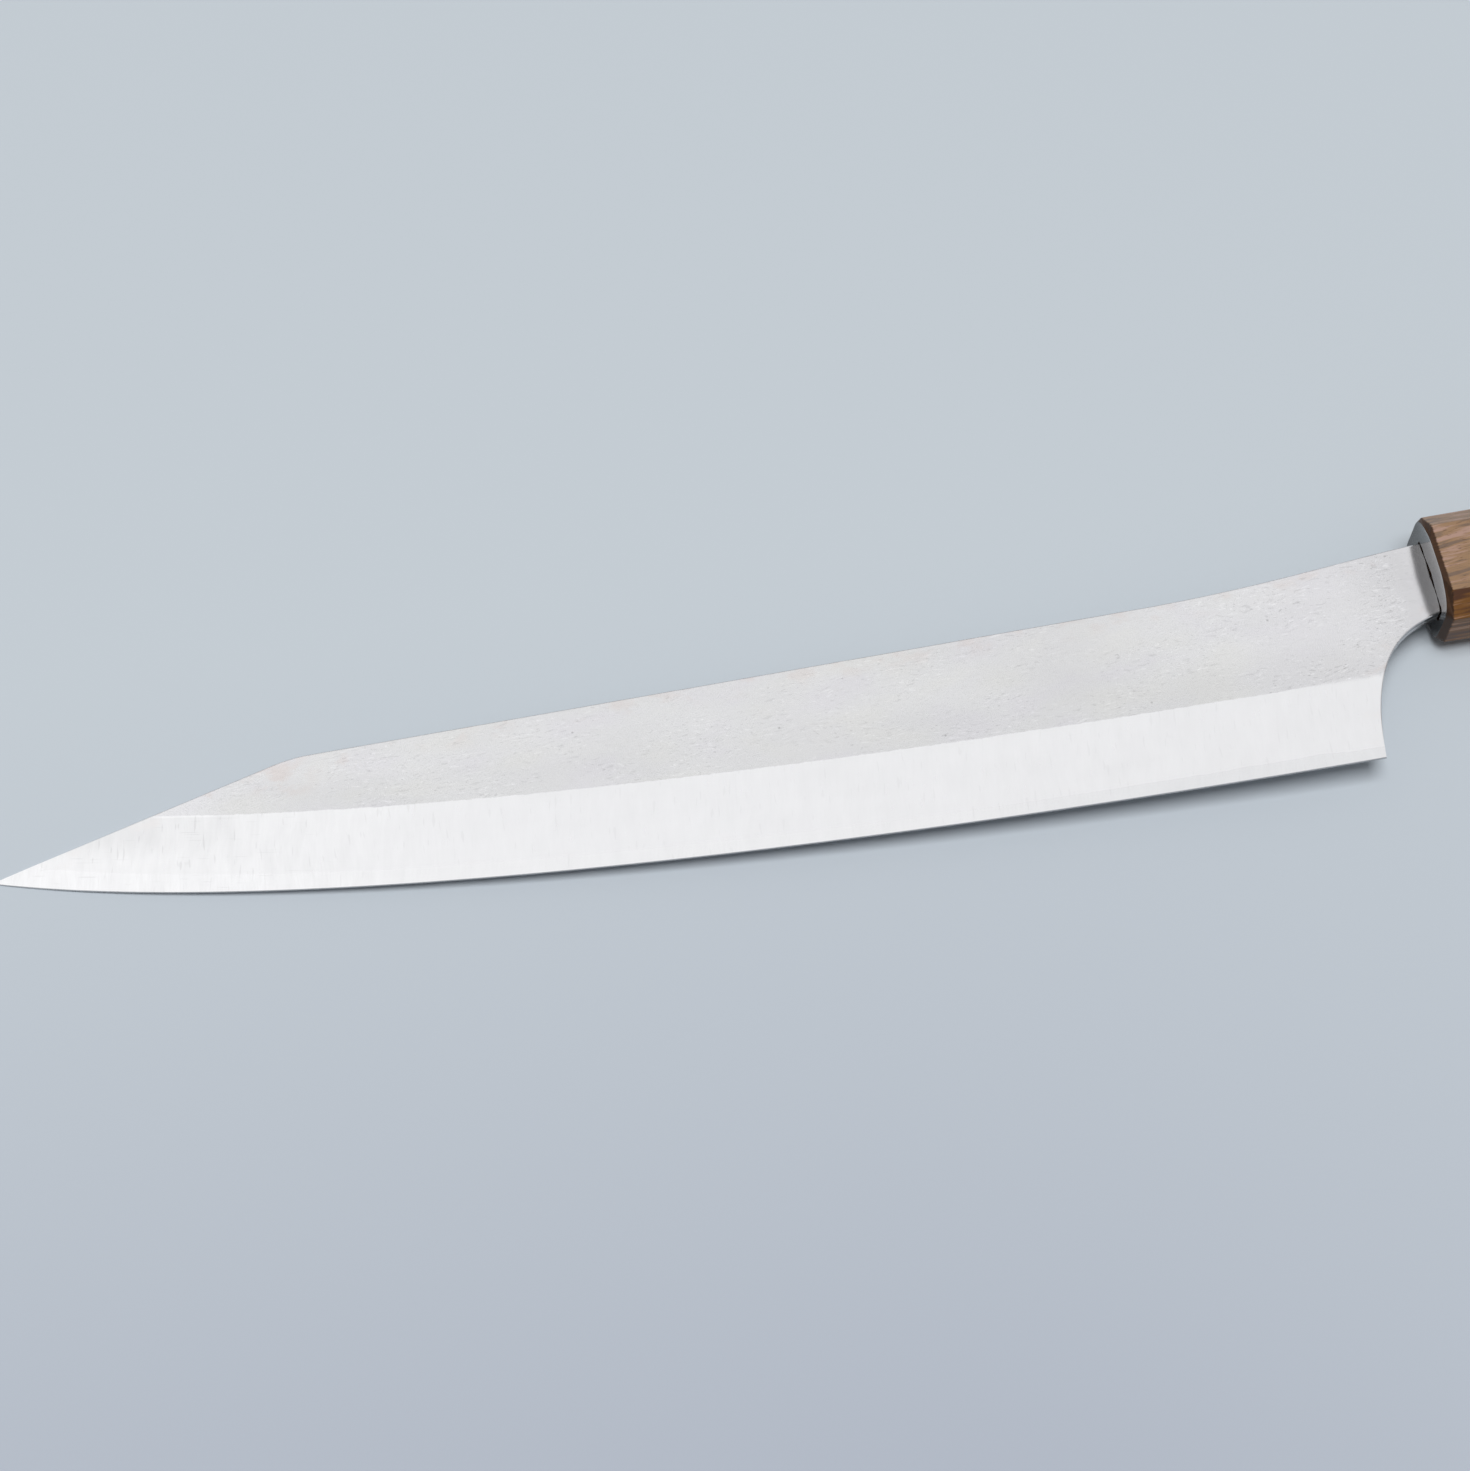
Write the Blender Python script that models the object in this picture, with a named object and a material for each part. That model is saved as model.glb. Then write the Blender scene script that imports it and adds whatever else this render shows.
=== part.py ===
"""A slicing knife of the sujihiki kind: a three-layer hidden-tang blade in a one-piece octagonal wooden handle.

Run it with blender --background --python part.py, or from Blender's text editor. Units are metres, +Z is up.
The knife lies on its right side. Its tip points to -X, its spine to +Y, and the blade's middle plane is level.
While the pieces are made, x = 0 is the rim of the handle's front, y = 0 and z = 0 its middle. The empty named knife
then moves everything, so that the world's origin is at the bottom centre of the whole knife.
"""

import math

import bmesh
import bpy
from mathutils import Vector
from mathutils.geometry import delaunay_2d_cdt

# The blade's side view
BLADE_LENGTH = 0.270  # heel to tip, in a straight line
TIP_ABOVE_HEEL = 0.0222
HEEL_AHEAD_OF_HANDLE = 0.0186
HEEL_BELOW_AXIS = 0.0363  # the axis is the handle's middle
EDGE_ANGLE_AT_TIP = math.radians(17.1)
EDGE_ANGLE_AT_HEEL = math.radians(0.15)
EDGE_PULL_AT_TIP = 0.0658  # how far the curve keeps each end's direction
EDGE_PULL_AT_HEEL = 0.0801
CLIP_ANGLE = math.radians(15.05)  # of the straight cut from the tip up to the spine
CLIP_CORNER_RADIUS = 0.030
SPINE_ANGLE = math.radians(0.61)
SPINE_ABOVE_AXIS = 0.00438  # of the spine's straight line, where it would reach the handle
NECK_CURVE_LENGTH = 0.058  # how much of the spine bends up to the neck
NECK_TOP = 0.0078  # above the axis, at the handle
NECK_BOTTOM = 0.0081  # below the axis, at the handle
NECK_TOP_ANGLE = math.radians(2.0)
NECK_BOTTOM_ANGLE = math.radians(13.0)
NECK_PULL_AT_SPINE = 0.026
NECK_PULL_AT_HANDLE = 0.0125
HEEL_LEAN = math.radians(84.2)  # of the heel's back, from the axis
CHOIL_PULL_AT_HEEL = 0.0212
CHOIL_PULL_AT_NECK = 0.0092

# The blade's thickness, measured across both sides
TIP_THICKNESS = 0.0014  # of the flat plate, before the bevels
CORNER_THICKNESS = 0.0018  # where the clip meets the spine
HEEL_THICKNESS = 0.0029
NECK_THICKNESS = 0.0032
TANG_END_THICKNESS = 0.0018
BEVEL_HEIGHT = 0.0170  # from the edge up to the ridge line, at the heel
BEVEL_LOSS_AT_TIP = 0.0013  # how much lower the bevel is at the tip
EDGE_LAND = 0.00016  # thickness just behind the honed edge
HONE_ANGLE = math.radians(14.0)  # of each side
CORE_THICKNESS = 0.0005
SPINE_EASE = 0.00035  # the rounding of the spine's and choil's corners

# The tang, hidden in the handle
SHOULDER_DEPTH = 0.005  # how deep the full neck goes in
TANG_LENGTH = 0.100  # from the handle's front face
TANG_ROOT_HEIGHT = 0.0110
TANG_END_HEIGHT = 0.0070
TANG_BELOW_AXIS = 0.0003
TANG_CORNER = 0.0015

# The handle
HANDLE_LENGTH = 0.143
FRONT_HEIGHT = 0.0235
FRONT_THICKNESS = 0.0183
REAR_HEIGHT = 0.0256
REAR_THICKNESS = 0.0200
FACET = 0.0044  # each leg of the long corner chamfers
FRONT_CHAMFER = 0.00093
FRONT_DOME = 0.0006  # how far the middle of the front face stands ahead of its rim
FRONT_ROLL = 0.0021  # the width over which the face falls back to the rim
RIM_ROUND = 0.0040  # corner radius of the rim
REAR_CHAMFER = 0.0012
EDGE_ROUND = 0.0003  # the sanded softness of the handle's edges

# The slot in the handle, and the resin in it
MOUTH_GAP = 0.00035  # round the neck
BEDDING_WALL = 0.0008
BEDDING_END = 0.003  # behind the tang's end
FIT = 0.00015  # between the resin and what it touches

EDGE_STEPS = 56
CHOIL_STEPS = 22
NECK_STEPS = 14
CORNER_STEPS = 6
ROUND_STEPS = 4
ROLL_STEPS = 3

core = CORE_THICKNESS / 2

# Where the blade's main points lie
heel = Vector((-HEEL_AHEAD_OF_HANDLE, -HEEL_BELOW_AXIS))
tip_reach = math.sqrt(BLADE_LENGTH**2 - TIP_ABOVE_HEEL**2)
tip = heel + Vector((-tip_reach, TIP_ABOVE_HEEL))


def direction(angle):
    return Vector((math.cos(angle), math.sin(angle)))


def bezier(start, pull_start, pull_end, end):
    """A function from 0..1 to a point of the cubic curve with these two end pulls, both as vectors."""

    def point(t):
        s = 1 - t
        a = start * s**3 + (start + pull_start) * 3 * s * s * t
        return a + (end + pull_end) * 3 * s * t * t + end * t**3

    return point


def solve(function, low, high):
    """The place between low and high where the function changes sign."""
    falling = function(low) > 0
    for _ in range(60):
        middle = (low + high) / 2
        if (function(middle) > 0) == falling:
            low = middle
        else:
            high = middle
    return (low + high) / 2


edge_curve = bezier(
    tip,
    direction(-EDGE_ANGLE_AT_TIP) * EDGE_PULL_AT_TIP,
    -direction(EDGE_ANGLE_AT_HEEL) * EDGE_PULL_AT_HEEL,
    heel,
)
neck_bottom = Vector((0, -NECK_BOTTOM))
choil_curve = bezier(
    heel,
    direction(HEEL_LEAN) * CHOIL_PULL_AT_HEEL,
    -direction(NECK_BOTTOM_ANGLE) * CHOIL_PULL_AT_NECK,
    neck_bottom,
)


def spine_line(x):
    return Vector((x, SPINE_ABOVE_AXIS + x * math.tan(SPINE_ANGLE)))


neck_top = Vector((0, NECK_TOP))
neck_curve = bezier(
    spine_line(-NECK_CURVE_LENGTH),
    direction(SPINE_ANGLE) * NECK_PULL_AT_SPINE,
    -direction(NECK_TOP_ANGLE) * NECK_PULL_AT_HANDLE,
    neck_top,
)


def clip_line(x):
    return Vector((x, tip.y + (x - tip.x) * math.tan(CLIP_ANGLE)))


clip_corner = clip_line(solve(lambda x: clip_line(x).y - spine_line(x).y, tip.x, -NECK_CURVE_LENGTH))
corner_reach = CLIP_CORNER_RADIUS * math.tan((CLIP_ANGLE - SPINE_ANGLE) / 2)
corner_start = clip_corner - direction(CLIP_ANGLE) * corner_reach


def corner_arc(t):
    """The rounded corner between the clip and the spine, from 0 to 1."""
    centre = corner_start + direction(CLIP_ANGLE - math.pi / 2) * CLIP_CORNER_RADIUS
    turn = CLIP_ANGLE + (SPINE_ANGLE - CLIP_ANGLE) * t
    return centre + direction(turn + math.pi / 2) * CLIP_CORNER_RADIUS


def edge_at(x):
    """The height of the cutting edge at x. Behind the heel it runs on straight."""
    if x > heel.x:
        return heel.y + (x - heel.x) * math.tan(EDGE_ANGLE_AT_HEEL)
    return edge_curve(solve(lambda t: edge_curve(t).x - x, 0, 1)).y


def plate_half(x):
    """Half the thickness of the flat plate at x, before the bevels."""
    knots = (
        (tip.x, TIP_THICKNESS),
        (clip_corner.x, CORNER_THICKNESS),
        (heel.x, HEEL_THICKNESS),
        (0, NECK_THICKNESS),
        (SHOULDER_DEPTH, NECK_THICKNESS),
        (TANG_LENGTH, TANG_END_THICKNESS),
    )
    for (x0, thick0), (x1, thick1) in zip(knots, knots[1:]):
        if x <= x1 or x1 == TANG_LENGTH:
            return (thick0 + (thick1 - thick0) * (x - x0) / (x1 - x0)) / 2


def bevel_at(x):
    """The height of the bevel at x, from the edge to the ridge line."""
    return BEVEL_HEIGHT - BEVEL_LOSS_AT_TIP * ((x - heel.x) / (tip.x - heel.x)) ** 2


def bevel_slope(x):
    return (plate_half(x) - EDGE_LAND / 2) / bevel_at(x)


def hone_at(x):
    """The height of the narrow honed strip along the edge."""
    return EDGE_LAND / 2 / (math.tan(HONE_ANGLE) - bevel_slope(x))


def core_shows_at(x):
    """How far above the edge the core comes out from under its claddings."""
    return (core - EDGE_LAND / 2) / bevel_slope(x)


def half_thickness(x, y):
    above = y - edge_at(x)
    honed = above * math.tan(HONE_ANGLE)
    bevelled = EDGE_LAND / 2 + above * bevel_slope(x)
    return max(0, min(plate_half(x), honed, bevelled))


LINES = {"hone": hone_at, "core": core_shows_at, "ridge": bevel_at}


def on_clip(height_at):
    """Where a line that runs above the edge meets the clip."""
    return solve(lambda x: clip_line(x).y - edge_at(x) - height_at(x), tip.x, clip_corner.x)


def on_choil(height_at):
    """Where a line that runs above the edge meets the back of the heel, as a place on its curve."""

    def gap(t):
        point = choil_curve(t)
        return point.y - edge_at(point.x) - height_at(point.x)

    return solve(gap, 0, 1)


def places(steps, extra=()):
    """Even places from 0 to 1, with the extra ones sorted in and none of the even ones crowding them."""
    even = [i / steps for i in range(1, steps) if all(abs(i / steps - e) > 0.3 / steps for e in extra)]
    return sorted([0, 1, *even, *extra])


def line_points(height_at):
    """A line above the edge, from the clip to the choil, with the clip's end and the choil's end exact."""
    start = on_clip(height_at)
    end = choil_curve(on_choil(height_at))
    xs = [edge_curve(t).x for t in places(EDGE_STEPS)]
    xs += [clip_corner.x]
    gap = tip_reach / EDGE_STEPS / 3
    xs = [x for x in sorted(xs) if start + gap < x < min(end.x, heel.x) - gap or x == clip_corner.x]
    if height_at(heel.x) > hone_at(heel.x):
        xs.append(heel.x)
    return [clip_line(start), *[Vector((x, edge_at(x) + height_at(x))) for x in xs], end]


def tang_points():
    """The tang's outline from the neck's lower side, round its end, to the neck's upper side."""
    root = TANG_ROOT_HEIGHT / 2
    end = TANG_END_HEIGHT / 2
    low = [
        (0, -NECK_BOTTOM),
        (SHOULDER_DEPTH, -NECK_BOTTOM),
        (SHOULDER_DEPTH, -root - TANG_BELOW_AXIS),
        (TANG_LENGTH - TANG_CORNER, -end - TANG_BELOW_AXIS),
        (TANG_LENGTH, -end + TANG_CORNER - TANG_BELOW_AXIS),
    ]
    high = [
        (TANG_LENGTH, end - TANG_CORNER - TANG_BELOW_AXIS),
        (TANG_LENGTH - TANG_CORNER, end - TANG_BELOW_AXIS),
        (SHOULDER_DEPTH, root - TANG_BELOW_AXIS),
        (SHOULDER_DEPTH, NECK_TOP),
        (0, NECK_TOP),
    ]
    return [Vector(p) for p in low + high]


def back_of_outline(first_line):
    """The outline from a line's end on the choil, round the tang and along the spine, to its end on the clip."""
    first = on_choil(LINES[first_line])
    stops = [on_choil(line) for line in LINES.values()]
    choil = [choil_curve(t) for t in places(CHOIL_STEPS, stops) if t > first]
    neck = [neck_curve(1 - t) for t in places(NECK_STEPS)][1:]
    heel_top = neck_curve(solve(lambda t: neck_curve(t).x - heel.x, 0, 1))
    neck = sorted([*neck, heel_top], key=lambda p: -p.x)
    corner = [corner_arc(1 - t) for t in places(CORNER_STEPS)]
    last = on_clip(LINES[first_line])
    clip = [clip_line(on_clip(line)) for line in reversed(LINES.values())]
    clip = [p for p in clip if p.x > last]
    return [*choil[:-1], *tang_points(), *neck, *corner, *clip]


class Shell:
    """Collects points and faces. Points that coincide become one, and faces that collapse are left out."""

    def __init__(self):
        self.index = {}
        self.points = []
        self.faces = []

    def at(self, x, y, z):
        key = (round(x, 8), round(y, 8), round(z, 8))
        if key not in self.index:
            self.index[key] = len(self.points)
            self.points.append((x, y, z))
        return self.index[key]

    def face(self, *corners):
        kept = [c for i, c in enumerate(corners) if c != corners[i - 1]]
        if len(kept) > 2 and len(set(kept)) == len(kept):
            self.faces.append(kept)

    def strip(self, first, second):
        """Quads between two closed rows of points."""
        for i in range(len(first)):
            self.face(first[i - 1], first[i], second[i], second[i - 1])

    def build(self, name, sharp_from):
        mesh = bpy.data.meshes.new(name)
        mesh.from_pydata(self.points, [], self.faces)
        work = bmesh.new()
        work.from_mesh(mesh)
        bmesh.ops.recalc_face_normals(work, faces=work.faces)
        work.to_mesh(mesh)
        work.free()
        mesh.shade_smooth()
        mesh.set_sharp_from_angle(angle=sharp_from)
        return mesh


def triangles(flat, border_count, folds):
    """Fills the outline made by the first points. Folds are rows of point numbers that stay as edges."""
    plan = [point * 1000 for point in flat]
    creases = [pair for fold in folds for pair in zip(fold, fold[1:])]
    border = [(i, (i + 1) % border_count) for i in range(border_count)]
    filled = delaunay_2d_cdt(plan, creases + border, [], 1, 1e-7)
    source = [ids[0] for ids in filled[3]]
    return [[source[i] for i in triangle] for triangle in filled[2]]


def inward(outline):
    """At each corner of an anticlockwise outline, the way in, as long as a mitre for an inset of 1."""
    ways = []
    for i, point in enumerate(outline):
        before = (point - outline[i - 1]).normalized()
        after = (outline[(i + 1) % len(outline)] - point).normalized()
        normal = Vector((-before.y - after.y, before.x + after.x)).normalized()
        ways.append(normal / max(0.4, normal.dot(Vector((-after.y, after.x)))))
    return ways


def surface(shell, outline, heights, folds):
    """Fills an outline whose corners have these heights. Each fold is a row of free points between two corners."""
    flat = list(outline)
    ids = [shell.at(p.x, p.y, z) for p, z in zip(outline, heights)]
    rows = []
    for start, middle, end, height_of in folds:
        row = [start]
        for point in middle:
            row.append(len(flat))
            flat.append(point)
            ids.append(shell.at(point.x, point.y, height_of(point)))
        rows.append([*row, end])
    for triangle in triangles(flat, len(outline), rows):
        shell.face(*[ids[i] for i in triangle])
    return ids[: len(outline)]


def nearest(outline, point):
    return min(range(len(outline)), key=lambda i: (outline[i] - point).length)


def cladding_shell(side):
    """One of the two soft outer layers. Side is 1 for the left one and -1 for the right one."""
    shell = Shell()
    front = line_points(core_shows_at)
    outline = [*front, *back_of_outline("core")]
    rises = [half_thickness(p.x, p.y) - core for p in outline]
    rises = [0 if i < len(front) else rise for i, rise in enumerate(rises)]
    eases = [min(SPINE_EASE, 0.6 * rise) for rise in rises]
    ways = inward(outline)

    def loop(inset, drop):
        """The outline moved in and down by these shares of its easing."""
        points = [p + way * ease * inset for p, way, ease in zip(outline, ways, eases)]
        heights = [side * (core + rise - ease * drop) for rise, ease in zip(rises, eases)]
        return points, heights

    rows = []
    for quarter in range(ROUND_STEPS):
        turn = math.pi / 2 * quarter / ROUND_STEPS
        points, heights = loop(1 - math.cos(turn), 1 - math.sin(turn))
        rows.append([shell.at(p.x, p.y, z) for p, z in zip(points, heights)])

    inner, heights = loop(1, 0)

    def height_of(point):
        return side * half_thickness(point.x, point.y)

    ridge = line_points(bevel_at)
    ridge_start = nearest(outline, ridge[0])
    ridge_end = nearest(outline, ridge[-1])
    folds = [(ridge_start, ridge[1:-1], ridge_end, height_of)]
    folds += [(nearest(outline, neck_bottom), [], nearest(outline, neck_top), height_of)]
    top = surface(shell, inner, heights, folds)
    floor = surface(shell, outline, [side * core] * len(outline), [])
    rows = [floor, *rows, top]
    for first, second in zip(rows, rows[1:]):
        shell.strip(first, second)
    return shell


def core_shell():
    """The hard middle layer, which comes out from between the claddings and holds the cutting edge."""
    shell = Shell()
    front = [edge_curve(t) for t in places(EDGE_STEPS)]
    outline = [*front, *back_of_outline("hone")]
    first_choil = choil_curve(on_choil(hone_at))
    last_clip = clip_line(on_clip(hone_at))
    outline.insert(len(front), first_choil)
    outline.append(last_clip)
    rows = []
    for side in (1, -1):
        heights = [side * min(core, half_thickness(p.x, p.y)) for p in outline]
        heights = [0 if i < len(front) else z for i, z in enumerate(heights)]

        def height_of(point, side=side):
            return side * min(core, half_thickness(point.x, point.y))

        folds = []
        for line in (hone_at, core_shows_at):
            points = line_points(line)
            start = nearest(outline, points[0])
            end = nearest(outline, points[-1])
            folds.append((start, points[1:-1], end, height_of))
        rows.append(surface(shell, outline, heights, folds))
    shell.strip(*rows)
    return shell


def section(x, middle_y, half_height, half_thick, corner, steps):
    """A rectangle across the knife with cut corners, or with round ones when steps is over 1."""
    ring = []
    for quarter in range(4):
        y_side = (1, -1, -1, 1)[quarter]
        z_side = (1, 1, -1, -1)[quarter]
        centre_y = middle_y + y_side * (half_height - corner)
        centre_z = z_side * (half_thick - corner)
        for step in range(steps + 1):
            turn = math.pi / 2 * (quarter + step / steps)
            ring.append((x, centre_y + corner * math.cos(turn), centre_z + corner * math.sin(turn)))
    return ring


def loft(rings):
    """A closed shell through rings of points, with its first and last ring filled in."""
    shell = Shell()
    rows = [[shell.at(*p) for p in ring] for ring in rings]
    for first, second in zip(rows, rows[1:]):
        shell.strip(first, second)
    shell.face(*rows[0])
    shell.face(*rows[-1])
    return shell


def material(name, colour, metallic, roughness):
    made = bpy.data.materials.new(name)
    made.use_nodes = True
    shader = made.node_tree.nodes["Principled BSDF"]
    shader.inputs["Base Color"].default_value = (*colour, 1)
    shader.inputs["Metallic"].default_value = metallic
    shader.inputs["Roughness"].default_value = roughness
    made.diffuse_color = (*colour, 1)
    return made


def add(name, mesh, finish=None):
    """Puts a mesh into the scene as a piece of the knife."""
    piece = bpy.data.objects.new(name, mesh)
    bpy.context.scene.collection.objects.link(piece)
    piece.parent = knife
    if finish:
        mesh.materials.append(finish)
    return piece


def make_handle():
    """The one-piece octagonal handle, tapered from butt to front, with a blind slot for the tang."""

    def octagon(x, inset, rounding=0):
        """The outline at x, moved in by the inset, with corners of this radius."""
        along = x / HANDLE_LENGTH
        height = FRONT_HEIGHT + (REAR_HEIGHT - FRONT_HEIGHT) * along
        thick = FRONT_THICKNESS + (REAR_THICKNESS - FRONT_THICKNESS) * along
        cut = FACET - inset * (2 - math.sqrt(2))
        corners = [Vector(p) for p in section(x, 0, height / 2 - inset, thick / 2 - inset, cut, 1)]
        reach = rounding * math.tan(math.pi / 8)
        ring = []
        for i, corner in enumerate(corners):
            back = (corners[i - 1] - corner).normalized() * reach
            ahead = (corners[(i + 1) % len(corners)] - corner).normalized() * reach
            for step in range(ROUND_STEPS + 1):
                t = step / ROUND_STEPS
                ring.append(corner + back * (1 - t) ** 2 + ahead * t**2)
        return ring

    rings = []
    for step in range(ROLL_STEPS + 1):
        out = step / ROLL_STEPS
        rings.append(octagon(FRONT_DOME * (out**2 - 1), FRONT_CHAMFER + FRONT_ROLL * (1 - out), RIM_ROUND))
    rings += [
        octagon(FRONT_CHAMFER, 0),
        octagon(HANDLE_LENGTH - REAR_CHAMFER, 0),
        octagon(HANDLE_LENGTH, REAR_CHAMFER),
    ]
    mesh = loft(rings).build("handle", math.radians(30))
    handle = add("handle", mesh, material("oiled hardwood", (0.15, 0.065, 0.02), 0, 0.35))
    soften = handle.modifiers.new("sanded edges", "BEVEL")
    soften.width = EDGE_ROUND
    soften.segments = 2
    soften.limit_method = "ANGLE"
    soften.angle_limit = math.radians(25)
    slot = handle.modifiers.new("slot", "BOOLEAN")
    slot.object = make_slot_cutter()
    slot.operation = "DIFFERENCE"
    return handle


def tang_section(x, margin):
    """The tang's rectangle at x, grown by a margin on every side."""
    along = (x - SHOULDER_DEPTH) / (TANG_LENGTH - SHOULDER_DEPTH)
    height = TANG_ROOT_HEIGHT + (TANG_END_HEIGHT - TANG_ROOT_HEIGHT) * along
    return section(x, -TANG_BELOW_AXIS, height / 2 + margin, plate_half(x) + margin, margin, ROUND_STEPS)


def make_slot_cutter():
    """The mouth round the neck and, behind it, the narrower pocket round the tang and its resin."""
    middle = (NECK_TOP - NECK_BOTTOM) / 2
    half_height = (NECK_TOP + NECK_BOTTOM) / 2 + MOUTH_GAP
    half_thick = NECK_THICKNESS / 2 + MOUTH_GAP
    mouth_end = SHOULDER_DEPTH + MOUTH_GAP
    pocket = BEDDING_WALL + 2 * FIT
    rings = [
        section(-2 * FRONT_DOME, middle, half_height, half_thick, 2 * MOUTH_GAP, ROUND_STEPS),
        section(mouth_end, middle, half_height, half_thick, 2 * MOUTH_GAP, ROUND_STEPS),
        tang_section(mouth_end, pocket),
        tang_section(TANG_LENGTH + BEDDING_END + FIT, pocket),
    ]
    cutter = add("slot_cutter", loft(rings).build("slot_cutter", math.radians(30)))
    cutter.hide_render = True
    cutter.display_type = "WIRE"
    return cutter


def make_bedding():
    """The hardened resin that fills the pocket round the tang: a cup with the tang's own taper inside."""
    front = SHOULDER_DEPTH + MOUTH_GAP + FIT
    rings = [
        tang_section(TANG_LENGTH + FIT, FIT),
        tang_section(front, FIT),
        tang_section(front, FIT + BEDDING_WALL),
        tang_section(TANG_LENGTH + BEDDING_END, FIT + BEDDING_WALL),
    ]
    mesh = loft(rings).build("tang_bedding", math.radians(30))
    return add("tang_bedding", mesh, material("cured resin", (0.03, 0.025, 0.02), 0, 0.4))


def stand_on_origin(pieces):
    """Moves the knife so that the bottom centre of its box is at the world's origin."""
    points = [Vector(v.co) for piece in pieces for v in piece.data.vertices]
    low = Vector([min(p[i] for p in points) for i in range(3)])
    high = Vector([max(p[i] for p in points) for i in range(3)])
    knife.location = -Vector(((low.x + high.x) / 2, (low.y + high.y) / 2, low.z))
    print("knife size in mm:", [round(1000 * side, 2) for side in high - low])
    print("knife origin moved by:", [round(1000 * side, 3) for side in knife.location])


for old in list(bpy.data.objects):
    bpy.data.objects.remove(old, do_unlink=True)

knife = bpy.data.objects.new("knife", None)
bpy.context.scene.collection.objects.link(knife)

ridge_sharp = math.radians(1.5)
core_mesh = core_shell().build("core_steel", ridge_sharp)
left_mesh = cladding_shell(1).build("left_cladding", ridge_sharp)
right_mesh = cladding_shell(-1).build("right_cladding", ridge_sharp)
made_pieces = [
    add("core_steel", core_mesh, material("hard core steel", (0.76, 0.76, 0.77), 1, 0.28)),
    add("left_cladding", left_mesh, material("left cladding steel", (0.72, 0.72, 0.71), 1, 0.38)),
    add("right_cladding", right_mesh, material("right cladding steel", (0.72, 0.72, 0.71), 1, 0.38)),
    make_handle(),
    make_bedding(),
]
stand_on_origin(made_pieces)
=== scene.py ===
# %% [markdown]
# # A slicing knife, from solids to a photograph
#
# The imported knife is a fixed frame: five plain solids in their right places. This lesson gives it the
# camera, the table, the light and the finishes that a photograph of the real knife has.

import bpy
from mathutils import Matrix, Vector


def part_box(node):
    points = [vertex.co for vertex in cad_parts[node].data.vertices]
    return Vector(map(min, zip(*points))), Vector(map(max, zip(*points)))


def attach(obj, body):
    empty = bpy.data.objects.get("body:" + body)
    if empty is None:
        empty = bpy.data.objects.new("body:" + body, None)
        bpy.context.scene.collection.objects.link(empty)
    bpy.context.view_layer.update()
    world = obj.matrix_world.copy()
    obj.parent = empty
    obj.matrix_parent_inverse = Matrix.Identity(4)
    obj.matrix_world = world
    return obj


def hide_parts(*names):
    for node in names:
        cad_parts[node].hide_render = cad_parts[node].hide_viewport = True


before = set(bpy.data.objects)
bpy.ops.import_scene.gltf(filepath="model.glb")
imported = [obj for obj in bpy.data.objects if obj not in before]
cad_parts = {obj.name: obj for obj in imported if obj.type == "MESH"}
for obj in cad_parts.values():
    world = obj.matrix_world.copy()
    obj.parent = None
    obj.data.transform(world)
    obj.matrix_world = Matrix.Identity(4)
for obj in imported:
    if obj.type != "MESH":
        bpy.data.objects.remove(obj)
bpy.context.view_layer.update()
print("solids:", sorted(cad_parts))

# %% [markdown]
# ## The knife's own directions
#
# Every place is measured from the middle of the rim of the handle's front: x to the butt, y to the spine
# and z to the side that lies up. Reading that point from the frame keeps the looks and the solids together.

# %% The rim of the handle's front
import math

import bmesh
import bpy
from mathutils import Quaternion, Vector, noise
from mathutils.geometry import delaunay_2d_cdt
from mathutils.kdtree import KDTree

MM = 0.001
HANDLE_LENGTH = 143.0
handle_low, handle_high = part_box("handle")
middle = (handle_low + handle_high) / 2
rim_middle = Vector((handle_high.x - HANDLE_LENGTH * MM, middle.y, middle.z))


def at(x, y, z=0.0):
    """A point in millimetres from the middle of the handle's front rim, in the frame's metres."""
    return rim_middle + Vector((x, y, z)) * MM


print("the rim's middle is at", [round(v, 5) for v in rim_middle])

# %% [markdown]
# ## The camera
#
# The photograph was taken from above and from the edge's side. A real camera is described by its place, by
# the point it looks at, by its roll and by its lens. Blender can shift the frame sideways too, but these
# four are enough, and a camera without a shift works as well from any other side.

# %% Set the camera
CAMERA_PLACE = at(-162.6, -226.6, 458.9)
CAMERA_AIM = at(-141.55, -8.71, 0)
CAMERA_ROLL = math.radians(-4.432)
PHOTO_SIDE = 1471
FOCAL_PIXELS = 2600

lens = bpy.data.cameras.new("photo_lens")
lens.sensor_width = 36
lens.lens = lens.sensor_width * FOCAL_PIXELS / PHOTO_SIDE
lens.clip_start = 0.01
camera = bpy.data.objects.new("photo_camera", lens)
bpy.context.scene.collection.objects.link(camera)
camera.location = CAMERA_PLACE
aim = (CAMERA_AIM - CAMERA_PLACE).to_track_quat("-Z", "Y")
camera.rotation_mode = "QUATERNION"
camera.rotation_quaternion = aim @ Quaternion((0, 0, 1), CAMERA_ROLL)
bpy.context.scene.camera = camera
bpy.context.view_layer.update()
for label, column in (("right", 0), ("up", 1), ("back", 2)):
    print("camera", label, [round(v, 5) for v in camera.matrix_world.col[column][:3]])

# %% [markdown]
# ## The table
#
# A knife laid down leans: it touches the table with its point and with the front of its handle. Here the
# knife can't be turned, because its frame is fixed, so the table slopes instead. Its slope is the lowest
# line that starts at the point and leaves the whole handle above it. It is read from the solids and not
# guessed, so the knife neither floats nor sinks in.

# %% Lay the table under the knife
FLOOR_SIDE = 6.0
FLOOR_CLEARANCE = 0.05 * MM

core_points = [v.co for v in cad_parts["core_steel"].data.vertices]
tip = min(core_points, key=lambda p: p.x)
handle_points = [v.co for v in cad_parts["handle"].data.vertices]
slope = min((p.z - tip.z) / (p.x - tip.x) for p in handle_points)
down = Vector((slope, 0, -1)).normalized()
print("the table slopes by", round(math.degrees(math.atan(slope)), 2), "degrees")

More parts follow.
